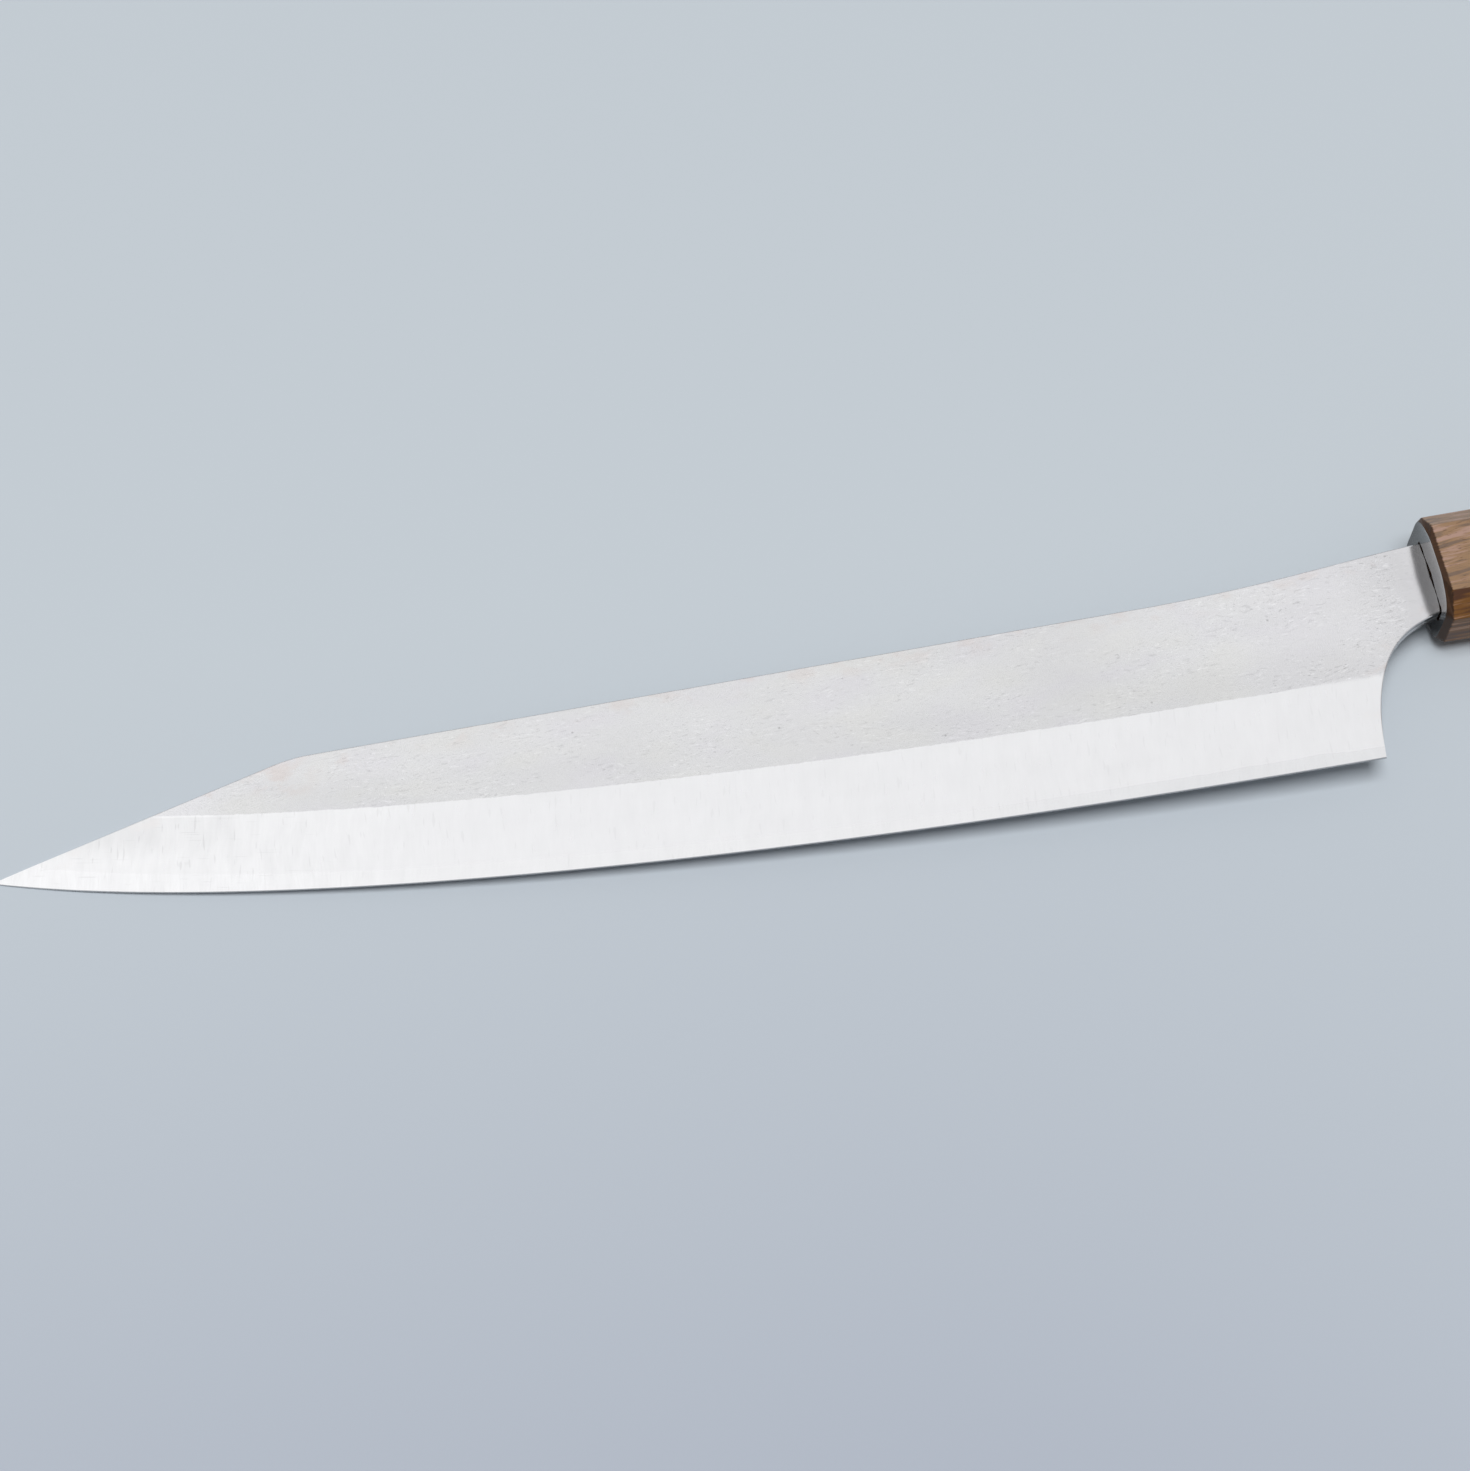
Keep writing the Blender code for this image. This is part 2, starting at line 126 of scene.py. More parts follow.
floor_mesh = bpy.data.meshes.new("table_top")
half = FLOOR_SIDE / 2
below_tip = tip + down * FLOOR_CLEARANCE
table_corners = [(-half, -half), (half, -half), (half, half), (-half, half)]
floor_mesh.from_pydata([below_tip + Vector((x, y, x * slope)) for x, y in table_corners], [], [(0, 1, 2, 3)])
floor = bpy.data.objects.new("table_top", floor_mesh)
bpy.context.scene.collection.objects.link(floor)

# %% [markdown]
# ## Shader maths as Python
#
# A material is a graph of nodes, and long formulas get lost in it. A small class wraps an output socket, so
# that Python's own operators add the Math nodes. Everything else goes through one method that takes a
# node's type, its settings and what its sockets get. The same helpers serve the room and every finish.

# %% Wrap a socket
class Value:
    """An output socket. Python's operators on it add Math nodes."""

    def __init__(self, nodes, socket):
        self.nodes = nodes
        self.socket = socket

    def __add__(self, other):
        return self.nodes.maths("ADD", self, other)

    def __sub__(self, other):
        return self.nodes.maths("SUBTRACT", self, other)

    def __rsub__(self, other):
        return self.nodes.maths("SUBTRACT", other, self)

    def __mul__(self, other):
        return self.nodes.maths("MULTIPLY", self, other)

    def __pow__(self, other):
        return self.nodes.maths("POWER", self, other)

    __radd__ = __add__
    __rmul__ = __mul__


# %% Add nodes by type
class Nodes:
    """A node tree with short ways to fill it."""

    def __init__(self, tree):
        self.tree = tree

    def node(self, kind, settings=None, sockets=None, out=0):
        """Adds a node, sets its settings, then fills its sockets with values or links."""
        made = self.tree.nodes.new(kind)
        for name, setting in (settings or {}).items():
            setattr(made, name, setting)
        for name, value in (sockets or {}).items():
            self.put(made.inputs[name], value)
        return Value(self, made.outputs[out])

    def put(self, socket, value):
        """Gives a socket a link, a colour or a number."""
        if isinstance(value, Value):
            self.tree.links.new(value.socket, socket)
        elif isinstance(value, tuple) and socket.type == "RGBA":
            socket.default_value = (*value, 1)
        else:
            socket.default_value = value

    def maths(self, operation, *values):
        """A Math node."""
        return self.node("ShaderNodeMath", {"operation": operation}, dict(enumerate(values)))

    def vector(self, operation, *values):
        """A Vector Math node."""
        return self.node("ShaderNodeVectorMath", {"operation": operation}, dict(enumerate(values)))

    def part(self, vector, axis):
        """One of a vector's three numbers."""
        return self.node("ShaderNodeSeparateXYZ", None, {0: vector}, out=axis)

    def step(self, value, low, high):
        """A smooth step from 0 to 1 while the value goes from low to high."""
        settings = {"interpolation_type": "SMOOTHSTEP"}
        return self.node("ShaderNodeMapRange", settings, {"Value": value, "From Min": low, "From Max": high})

    def mix(self, share, first, second):
        """The first colour where the share is 0 and the second where it is 1."""
        settings = {"data_type": "RGBA", "clamp_factor": True}
        return self.node("ShaderNodeMix", settings, {0: share, 6: first, 7: second}, out=2)

    def scaled(self, colour, factor):
        """A colour made brighter or darker by a factor."""
        return self.node("ShaderNodeVectorMath", {"operation": "SCALE"}, {0: colour, "Scale": factor})


# %% Patterns in millimetres
class Finish(Nodes):
    """A material in the making. Its patterns are measured in millimetres on the knife."""

    def __init__(self, name):
        self.material = bpy.data.materials.new(name)
        self.material.use_nodes = True
        super().__init__(self.material.node_tree)
        self.shader = self.tree.nodes["Principled BSDF"]
        coordinates = self.node("ShaderNodeTexCoord", out=3)
        in_mm = self.vector("MULTIPLY", coordinates, (1 / MM, 1 / MM, 1 / MM))
        self.place = self.vector("SUBTRACT", in_mm, tuple(rim_middle / MM))

    def stored(self, name):
        """A number that the mesh stores at its points."""
        return self.node("ShaderNodeAttribute", {"attribute_name": name}, out=2)

    def cloud(self, size, detail=2.0, place=None, seed=0.0):
        """Noise of about 0 to 1. The size is the length of a blob along x, y and z."""
        stretched = self.vector("DIVIDE", place or self.place, size)
        moved = self.vector("ADD", stretched, (seed, seed / 3, 0))
        return self.node("ShaderNodeTexNoise", None, {"Vector": moved, "Scale": 1.0, "Detail": detail})

    def spots(self, spacing, radius, seed=0.0):
        """1 inside scattered round spots and 0 between them, both sizes in millimetres."""
        scaled_place = self.vector("DIVIDE", self.place, (spacing, spacing, spacing))
        moved = self.vector("ADD", scaled_place, (seed, seed, seed))
        distance = self.node("ShaderNodeTexVoronoi", None, {"Vector": moved, "Scale": 1.0})
        return 1 - self.step(distance, 0.6 * radius / spacing, 1.4 * radius / spacing)

    def bump(self, height, depth):
        """Feeds a relief into the shader. Depth is its full height in millimetres."""
        sockets = {"Height": height, "Distance": depth * MM, "Strength": 1.0}
        self.set("Normal", self.node("ShaderNodeBump", None, sockets))

    def set(self, name, value):
        """Gives one of the shader's own sockets a link or a value."""
        self.put(self.shader.inputs[name], value)


# %% [markdown]
# ## The light
#
# The photograph's shadow is narrow: it lies only under the blade. So most of the light comes from one soft
# panel nearly straight overhead, and the room adds a little. Polished steel shows the room and not only its
# light, so rays that bounce off a glossy surface or pass through a clear one find the pale walls of the
# studio, and the camera's own find a plain pale backdrop. Real walls would throw light and shade of their
# own, so the world alone gives each kind of ray what it should find. The walls are a little brighter on the
# tip's side, and dimmer low down than overhead. The panel itself is kept out of reflections, which would
# show its edges.

# %% Light the room
scene = bpy.context.scene
scene.view_settings.view_transform = "Standard"
ROOM_LIGHT = 0.26
BACKDROP = 0.93
ROOM_COLOUR = (0.985, 0.987, 1.0)
WALL_MIDDLE = 0.96
WALL_FALL = 0.16
LOW_WALL = 0.40

world = bpy.data.worlds.new("studio")
scene.world = world
world.use_nodes = True
world.cycles.sampling_method = "NONE"
room = Nodes(world.node_tree)
camera_ray = room.node("ShaderNodeLightPath", out=0)
glossy_ray = room.node("ShaderNodeLightPath", out=3)
clear_ray = room.node("ShaderNodeLightPath", out=6)
mirrored_ray = room.maths("MAXIMUM", glossy_ray, clear_ray)
toward = room.node("ShaderNodeTexCoord", out=0)
overhead = room.step(room.part(toward, 2), 0.15, 0.62)
toward_tip = room.maths("MINIMUM", WALL_MIDDLE - WALL_FALL * room.part(toward, 0), 1.0)
walls = toward_tip * (LOW_WALL + (1 - LOW_WALL) * overhead)
strength = ROOM_LIGHT + mirrored_ray * (walls - ROOM_LIGHT) + camera_ray * (BACKDROP - ROOM_LIGHT)
background = world.node_tree.nodes["Background"]
room.put(background.inputs["Color"], ROOM_COLOUR)
room.put(background.inputs["Strength"], strength)
print("the room's light is", ROOM_LIGHT, "of white, and its backdrop", BACKDROP)

# %% Hang the panel
PANEL_DISTANCE = 3.9
PANEL_SIDE = 1.86
PANEL_WATTS = 135
PANEL_WAY = Vector((0, -0.095, 1)).normalized()

panel_light = bpy.data.lights.new("overhead_panel", "AREA")
panel_light.shape = "SQUARE"
panel_light.size = PANEL_SIDE
panel_light.energy = PANEL_WATTS
panel = bpy.data.objects.new("overhead_panel", panel_light)
scene.collection.objects.link(panel)
lit_point = at(-140, 0)
panel.location = lit_point + PANEL_WAY * PANEL_DISTANCE
panel.rotation_euler = (lit_point - panel.location).to_track_quat("-Z", "Y").to_euler()
panel.visible_glossy = False
print("the panel hangs at", [round(v, 3) for v in panel.location])

# %% [markdown]
# ## The blade's curves
#
# A knife maker draws the side view first. Four lines make it: the cutting edge, the back of the heel that
# swings up to the neck, the spine that bends up into the neck, and the straight cut of the tip. Cubic curves
# with a pull at each end describe the bent ones, so that each line starts and ends in a chosen direction.
# They could be drawn by hand, but lines that are known as numbers can be read back as heights, which the
# bevel needs.

# %% Draw the side view
TIP = Vector((-287.68, -14.1))
HEEL = Vector((-18.6, -36.299))
NECK_BOTTOM = Vector((0, -8.1))
NECK_TOP = Vector((0, 7.8))
CLIP_ANGLE = math.radians(15.05)
SPINE_ANGLE = math.radians(0.61)
SPINE_RISE = 4.38
NECK_CURVE = 58.0
CLIP_ROUND = 30.0


def pull(degrees, length):
    """The pull at one end of a curve: its direction, and how far it reaches."""
    turn = math.radians(degrees)
    return Vector((math.cos(turn), math.sin(turn))) * length


def curve(start, leave, arrive, end, steps):
    """Points of a cubic curve that leaves its start and arrives at its end along these pulls."""
    points = []
    for i in range(steps + 1):
        t = i / steps
        s = 1 - t
        near = start * s**3 + (start + leave) * 3 * s * s * t
        points.append(near + (end - arrive) * 3 * s * t * t + end * t**3)
    return points


def spine_at(x):
    """The point of the spine's straight line at x."""
    return Vector((x, SPINE_RISE + x * math.tan(SPINE_ANGLE)))


def rounded_corner(corner, back, ahead, radius, steps):
    """Points that round a corner between two directions."""
    half_turn = back.angle(-ahead) / 2
    reach = radius * math.tan(half_turn)
    shares = [i / steps for i in range(steps + 1)]
    return [corner + back * reach * (1 - t) ** 2 + ahead * reach * t * t for t in shares]


edge = curve(TIP, pull(-17.1, 65.8), pull(0.15, 80.1), HEEL, steps=220)
choil = curve(HEEL, pull(84.2, 21.2), pull(13.0, 9.2), NECK_BOTTOM, steps=56)
neck = curve(spine_at(-NECK_CURVE), pull(0.61, 26.0), pull(2.0, 12.5), NECK_TOP, steps=36)
along_clip = Vector((math.cos(CLIP_ANGLE), math.sin(CLIP_ANGLE)))
along_spine = Vector((math.cos(SPINE_ANGLE), math.sin(SPINE_ANGLE)))
rise = SPINE_RISE + TIP.x * math.tan(SPINE_ANGLE) - TIP.y
clip_corner = TIP + along_clip * (rise / (along_clip.y - along_clip.x * math.tan(SPINE_ANGLE)))
clip_curve = rounded_corner(clip_corner, -along_clip, along_spine, CLIP_ROUND, steps=10)
print("the clip meets the spine at", [round(v, 2) for v in clip_corner])


# %% Read a curve as a height
def reader(points):
    """A function that gives a curve's height at x. The curve's points run from left to right."""

    def height(x):
        low = 0
        high = len(points) - 1
        while high - low > 1:
            half = (low + high) // 2
            if points[half].x <= x:
                low = half
            else:
                high = half
        a, b = points[low], points[high]
        return a.y + (b.y - a.y) * (x - a.x) / (b.x - a.x)

    return height


PAST_HANDLE = 60
edge_at = reader([*edge, HEEL + Vector((PAST_HANDLE, 0))])
choil_at = reader([*choil, NECK_BOTTOM + Vector((PAST_HANDLE, 0))])
neck_at = reader([*neck, NECK_TOP + Vector((PAST_HANDLE, 0))])
print("at 100 mm from the handle the edge lies at y =", round(edge_at(-100), 2))

# %% [markdown]
# ## The blade's thickness
#
# The plate tapers from the neck to the tip. Below the ridge line a wide bevel runs down to the edge, and a
# very narrow honed strip ends it. The hard core is half a millimetre thick, so it comes out between the
# soft layers a few millimetres above the edge. Hammer and stones leave that line, and the ridge, a little
# uneven, so both get a slight wander. A modifier could cut a bevel, but one formula for the thickness at any
# point serves all three layers, so their surfaces meet exactly.

# %% Thickness at any point
CORE_HALF = 0.25
LAND = 0.16
HONE_SLOPE = math.tan(math.radians(14))
RIDGE_AT_HEEL = 17.0
RIDGE_LOSS_AT_TIP = 1.3
LINE_LIFT_AT_HEEL = 0.35
LINE_LIFT_MORE = 0.55
LINE_LIFT_LENGTH = 14
LINE_CALMS_OVER = 90
HALF_THICKNESSES = ((TIP.x, 0.7), (clip_corner.x, 0.9), (HEEL.x, 1.45), (0, 1.6), (5, 1.6), (100, 0.9))


def wander(x, size, seed):
    """A smooth random value of about -1 to 1 that changes over lengths of this size."""
    return 1.6 * noise.noise(Vector((x / size, seed, 0)))


def plate_half(x):
    """Half the plate's thickness at x, before any bevel is ground."""
    for (x0, half0), (x1, half1) in zip(HALF_THICKNESSES, HALF_THICKNESSES[1:]):
        if x <= x1 or x1 == HALF_THICKNESSES[-1][0]:
            return half0 + (half1 - half0) * (x - x0) / (x1 - x0)


def ridge_above(x):
    """The height of the ridge line above the edge."""
    toward_tip = (x - HEEL.x) / (TIP.x - HEEL.x)
    plain = RIDGE_AT_HEEL - RIDGE_LOSS_AT_TIP * toward_tip**2
    return plain + 0.07 * wander(x, 9, 3) + 0.07 * wander(x, 2.2, 5)


def bevel_slope(x):
    """How fast one side of the bevel thickens with height."""
    return (plate_half(x) - LAND / 2) / ridge_above(x)


def hone_above(x):
    """The height above the edge of the line where the honed strip meets the bevel."""
    return LAND / 2 / (HONE_SLOPE - bevel_slope(x))


def core_above(x):
    """The height above the edge at which the soft layer starts. Near the heel the line wanders more."""
    plain = (CORE_HALF - LAND / 2) / bevel_slope(x)
    near_heel = max(0.2, 1 - (HEEL.x - x) / LINE_CALMS_OVER)
    lifted = min(1, max(0, HEEL.x - x) / LINE_LIFT_LENGTH)
    lift = LINE_LIFT_AT_HEEL + LINE_LIFT_MORE * lifted
    return plain + near_heel * (lift + 0.22 * wander(x, 7, 8) + 0.10 * wander(x, 2.1, 9))


def half_at(x, y):
    """Half the finished blade's thickness at a point of the side view."""
    above = y - edge_at(x)
    return max(0, min(plate_half(x), above * HONE_SLOPE, LAND / 2 + above * bevel_slope(x)))


for x in (-250, -140, -40):
    heights = [round(height(x), 2) for height in (ridge_above, core_above, hone_above)]
    print("above the edge at x =", x, "lie the ridge, the core's border and the honed strip's:", heights)

# %% [markdown]
# ## A skin of points and faces
#
# Each layer is a closed skin: a border walked once round, a filled top, a filled floor and rows of quads
# between them. Delaunay triangles fill any outline and can keep given lines as creases, so the ridge and
# the lamination line are real edges of the mesh. Free points inside keep the triangles small and even,
# which lets values stored at the points guide the finish later.

# %% A closed skin
class Skin:
    """Points, faces and creases of one piece, in millimetres. Points that coincide become one."""

    def __init__(self):
        self.index = {}
        self.points = []
        self.faces = []
        self.sharp = []

    def at(self, x, y, z):
        """The number of this point, which joins the skin if it is new."""
        key = (round(x, 5), round(y, 5), round(z, 5))
        if key not in self.index:
            self.index[key] = len(self.points)
            self.points.append((x, y, z))
        return self.index[key]

    def face(self, *corners):
        """A face between these points, unless so many coincide that none is left."""
        kept = [c for i, c in enumerate(corners) if c != corners[i - 1]]
        if len(kept) > 2 and len(set(kept)) == len(kept):
            self.faces.append(kept)

    def strip(self, first, second):
        """Quads between two closed rows of as many points."""
        for i in range(len(first)):
            self.face(first[i - 1], first[i], second[i], second[i - 1])

    def crease(self, row):
        """Keeps a row of points as a sharp line."""
        self.sharp += list(zip(row, row[1:]))


# %% Fill an outline
def encloses(ring, point):
    """Whether a point lies inside a closed ring: a line from it crosses the ring an odd number of times."""
    crossings = 0
    for a, b in zip(ring, ring[1:] + ring[:1]):
        if (a.y > point.y) != (b.y > point.y):
            crossings += point.x < a.x + (b.x - a.x) * (point.y - a.y) / (b.y - a.y)
    return crossings % 2 == 1


def fill(flat, loop, fold=(), hole=()):
    """Triangles inside a loop of point numbers and outside the hole. The fold is a row kept as edges."""
    edges = list(zip(fold, fold[1:]))
    for ring in (loop, hole):
        edges += [(ring[i - 1], ring[i]) for i in range(len(ring))]
    filled = delaunay_2d_cdt(flat, edges, [], 1, 1e-6)
    source = [ids[0] for ids in filled[3]]
    faces = [[source[i] for i in triangle] for triangle in filled[2]]
    opening = [flat[i] for i in hole]
    return [f for f in faces if not encloses(opening, (flat[f[0]] + flat[f[1]] + flat[f[2]]) / 3)]


# %% Spread free points
ROW_STEP = 0.866


def grid_points(lines, inside, spacing, clear):
    """Free points on a grid of even triangles, inside a region and clear of the lines already there."""
    known = [point for line in lines for point in line]
    tree = KDTree(len(known))
    for i, point in enumerate(known):
        tree.insert((*point, 0), i)
    tree.balance()
    low = Vector((min(p.x for p in known), min(p.y for p in known)))
    high = Vector((max(p.x for p in known), max(p.y for p in known)))
    points = []
    for row in range(int((high.y - low.y) / spacing / ROW_STEP)):
        for column in range(int((high.x - low.x) / spacing)):
            point = low + Vector((column + row % 2 / 2, row * ROW_STEP)) * spacing
            if inside(point) and tree.find((*point, 0))[2] > clear:
                points.append(point)
    return points


# %% [markdown]
# ## The outline of every layer
#
# All three layers share one outline, which runs on as the tang inside the handle. Only its lower border
# differs: the core ends in the cutting edge, and the soft layers end at the lamination line. The ridge, that
# line and the top of the honed strip all follow the edge at a height of their own. Each could be drawn as a
# curve, but one function that takes the height makes all three, and finds the exact places where they end
# on the clip and on the back of the heel.

# %% Lines above the edge
TANG = [(5, -8.1), (5, -5.8), (98.5, -3.8), (100, -2.3), (100, 1.7), (98.5, 3.2), (5, 5.2), (5, 7.8)]


def meets(points, height):
    """The first point of a line at which the edge lies this function's height below."""
    for a, b in zip(points, points[1:]):
        gap_a = a.y - edge_at(a.x) - height(a.x)
        gap_b = b.y - edge_at(b.x) - height(b.x)
        if gap_a <= 0 < gap_b:
            return a + (b - a) * (gap_a / (gap_a - gap_b))


def line_above(height, spacing=1.2):
    """A line that runs above the edge, from the clip to the back of the heel, with both ends exact."""
    start = meets([TIP, clip_corner], height)
    end = meets(choil, height)
    count = round((end.x - start.x) / spacing)
    xs = [start.x + (end.x - start.x) * i / count for i in range(1, count)]
    return [start, *[Vector((x, edge_at(x) + height(x))) for x in xs], end]


def rest_of_outline(line):
    """The outline from a line's end on the choil, round the tang and the spine, to its start on the clip."""
    up = [p for p in choil if p.y > line[-1].y + 0.02]
    tang = [Vector(p) for p in TANG]
    spine = [spine_at(x) for x in range(-60, int(clip_curve[-1].x) + 1, -2)]
    back = [*reversed(neck), *spine, *reversed(clip_curve)]
    count = round((clip_curve[0] - line[0]).length / 1.5)
    down = [clip_curve[0].lerp(line[0], i / count) for i in range(1, count)]
    return up + tang + back + down


def nearest(points, place):
    """The number of the point that lies closest to a place."""
    return min(range(len(points)), key=lambda i: (points[i] - place).length)


ridge_line = line_above(ridge_above)
lamination = line_above(core_above, spacing=0.8)
hone_line = line_above(hone_above)
for label, line in (("ridge", ridge_line), ("lamination", lamination), ("hone", hone_line)):
    print(label, "line from", [round(v, 2) for v in line[0]], "to", [round(v, 2) for v in line[-1]])


# %% [markdown]
# ## The soft outer layers
#
# Each soft layer lies on the core. Its outer side has the ridge as a crease, and the corners along the spine
# and behind the heel are eased with a stone. A Bevel modifier could round those, but the ridge and the lower
# border have to stay sharp and the layer thins toward the tip, so a few rows of a quarter circle lead over
# the corners instead.

# %% Move an outline inward
def ways_in(outline):
    """At each corner of an anticlockwise outline, the direction into it, scaled for an even inset."""
    ways = []
    for i, point in enumerate(outline):
        before = (point - outline[i - 1]).normalized()
        after = (outline[(i + 1) % len(outline)] - point).normalized()
        normal = Vector((-before.y - after.y, before.x + after.x)).normalized()
        ways.append(normal / max(0.5, normal.dot(Vector((-after.y, after.x)))))
    return ways


# %% Where free points may lie
SHOULDER = 4.5


def in_blade(point):
    """Whether a point lies in the blade's flat outline, ahead of the handle."""
    if not TIP.x < point.x < SHOULDER:
        return False
    below = edge_at(point.x) if point.x < HEEL.x else choil_at(point.x)
    if point.x > -NECK_CURVE:
        return below < point.y < neck_at(point.x)
    on_clip = TIP.y + (point.x - TIP.x) * math.tan(CLIP_ANGLE)
    return below < point.y < min(on_clip, spine_at(point.x).y)


def on_soft_top(p):
    """Whether a point lies on a soft layer's top, a little above its lower border."""
    above = p.y - edge_at(p.x)
    return in_blade(p) and above > 1 and (above > core_above(p.x) + 0.5 or p.x > HEEL.x)


# %% Build a soft layer
EASE = 0.42
EASE_ROWS = 6


def eased_wall(skin, side, outline):
    """Rows of points up the wall and over its eased corner, and the outline where the flat top starts."""
    tops = [half_at(p.x, p.y) - CORE_HALF for p in outline]
    eases = [0 if i < len(lamination) else min(EASE, 0.7 * top) for i, top in enumerate(tops)]
    ways = ways_in(outline)
    rows = [[skin.at(p.x, p.y, side * CORE_HALF) for p in outline]]
    for step in range(EASE_ROWS + 1):
        turn = math.pi / 2 * step / EASE_ROWS
        inner = [p + way * ease * (1 - math.cos(turn)) for p, way, ease in zip(outline, ways, eases)]
        heights = [CORE_HALF + top - ease * (1 - math.sin(turn)) for top, ease in zip(tops, eases)]
        rows.append([skin.at(p.x, p.y, side * height) for p, height in zip(inner, heights)])
    return rows, inner


def soft_layer(side):
    """One soft layer. Side is 1 for the left one, which is up, and -1 for the right one."""
    skin = Skin()
    outline = lamination + rest_of_outline(lamination)
    rows, inner = eased_wall(skin, side, outline)
    for first, second in zip(rows, rows[1:]):
        skin.strip(first, second)
    free = grid_points([inner, ridge_line], on_soft_top, spacing=1.5, clear=0.75)
    flat = inner + ridge_line[1:-1] + free
    ids = rows[-1] + [skin.at(p.x, p.y, side * half_at(p.x, p.y)) for p in flat[len(inner):]]
    along_ridge = range(len(inner), len(inner) + len(ridge_line) - 2)
    fold = [nearest(outline, ridge_line[0]), *along_ridge, nearest(outline, ridge_line[-1])]
    for triangle in fill(flat, range(len(inner)), fold):
        skin.face(*[ids[i] for i in triangle])
    for triangle in fill(outline, range(len(outline))):
        skin.face(*[rows[0][i] for i in triangle])
    skin.crease([ids[i] for i in fold])
    skin.crease(rows[0] + rows[0][:1])
    skin.crease([rows[-1][-1], *rows[-1][: len(lamination) + 1]])
    return skin


# %% [markdown]
# ## The hard core
#
# The core is a flat plate between the soft layers. Below the lamination line it is ground with them, so its
# surface there is the lower part of the bevel, down to the honed strip and the edge. Cutting it out of a
# thick plate would leave a ragged border. Here each side is filled as two outlines, the ground part and the
# part that the soft layer covers, and they meet in a very small step at the lamination line.

# %% Outline the core
def core_outline():
    """The core's outline from the tip along the edge. The soft layers' lower corners are points of it too."""
    rest = rest_of_outline(hone_line)
    start = next(i for i, p in enumerate(rest) if p.y > lamination[-1].y)
    rest.insert(start, lamination[-1])
    end = next(i for i in range(len(rest) - 1, 0, -1) if rest[i].x > lamination[0].x)
    rest.insert(end + 1, lamination[0])
    return [*edge, hone_line[-1], *rest, hone_line[0]]


def on_bevel(p):
    """Whether a point lies on the core's part of the bevel, clear of the honed strip."""
    return in_blade(p) and hone_above(p.x) + 0.15 < p.y - edge_at(p.x) < core_above(p.x)


# %% Build the core
def ground_side(skin, side, lower, heel_mark, free):
    """The bevel and the honed strip of one side. Gives all its points and those of its upper border."""
    flat = lower + hone_line[1:-1] + lamination[1:-1] + free
    ids = [skin.at(p.x, p.y, side * half_at(p.x, p.y)) for p in flat]
    for i, point in enumerate(edge):
        ids[i] = skin.at(point.x, point.y, 0)
    on_hone = range(len(lower), len(lower) + len(hone_line) - 2)
    on_border = range(on_hone.stop, on_hone.stop + len(lamination) - 2)
    fold = [lower.index(hone_line[0]), *on_hone, lower.index(hone_line[-1])]
    border = [lower.index(lamination[0]), *on_border, lower.index(lamination[-1])]
    loop = [*range(heel_mark + 1), *reversed(on_border), *range(heel_mark + 1, len(lower))]
    for triangle in fill(flat, loop, fold):
        skin.face(*[ids[i] for i in triangle])
    skin.crease([ids[i] for i in fold])
    return ids, [ids[i] for i in border]


def covered_side(skin, side, upper):
    """The flat part of one side, which the soft layer covers."""
    flat = upper + lamination[1:-1]
    ids = [skin.at(p.x, p.y, side * CORE_HALF) for p in flat]
    for triangle in fill(flat, range(len(flat))):
        skin.face(*[ids[i] for i in triangle])
    return ids


def core_layer():
    """Both sides of the core, the small step from its bevel to its covered part, and the wall round it."""
    skin = Skin()
    outline = core_outline()
    heel_mark = nearest(outline, lamination[-1])
    tip_mark = nearest(outline, lamination[0])
    lower = outline[: heel_mark + 1] + outline[tip_mark:]
    upper = outline[heel_mark: tip_mark + 1]
    free = grid_points([outline, hone_line[1:-1] + lamination[1:-1]], on_bevel, spacing=0.7, clear=0.35)
    walls = []
    for side in (1, -1):
        ids, high = ground_side(skin, side, lower, heel_mark, free)
        under = covered_side(skin, side, upper)
        low = [under[len(upper) - 1], *under[len(upper):], under[0]]
        for i in range(len(high) - 1):
            skin.face(high[i], high[i + 1], low[i + 1], low[i])
        skin.crease(high)
        skin.crease(low)
        wall = ids[len(edge) - 1: heel_mark + 1] + under[: len(upper)]
        walls.append(wall + ids[heel_mark + 1: len(lower)] + ids[:1])
    for i in range(len(walls[0]) - 1):
        skin.face(walls[0][i], walls[0][i + 1], walls[1][i + 1], walls[1][i])
    for wall in walls:
        skin.crease(wall)
    return skin


# %% [markdown]
# ## From skin to piece
#
# The skin's points become a mesh in the frame's metres. Its normals are smoothed except along the creases,
# weighted by area so that a broad flat stays flat right up to its eased edge. Each point of a soft layer
# also keeps two numbers for the finish: its height above the edge as a share of the ridge's, and how close
# the outline is.

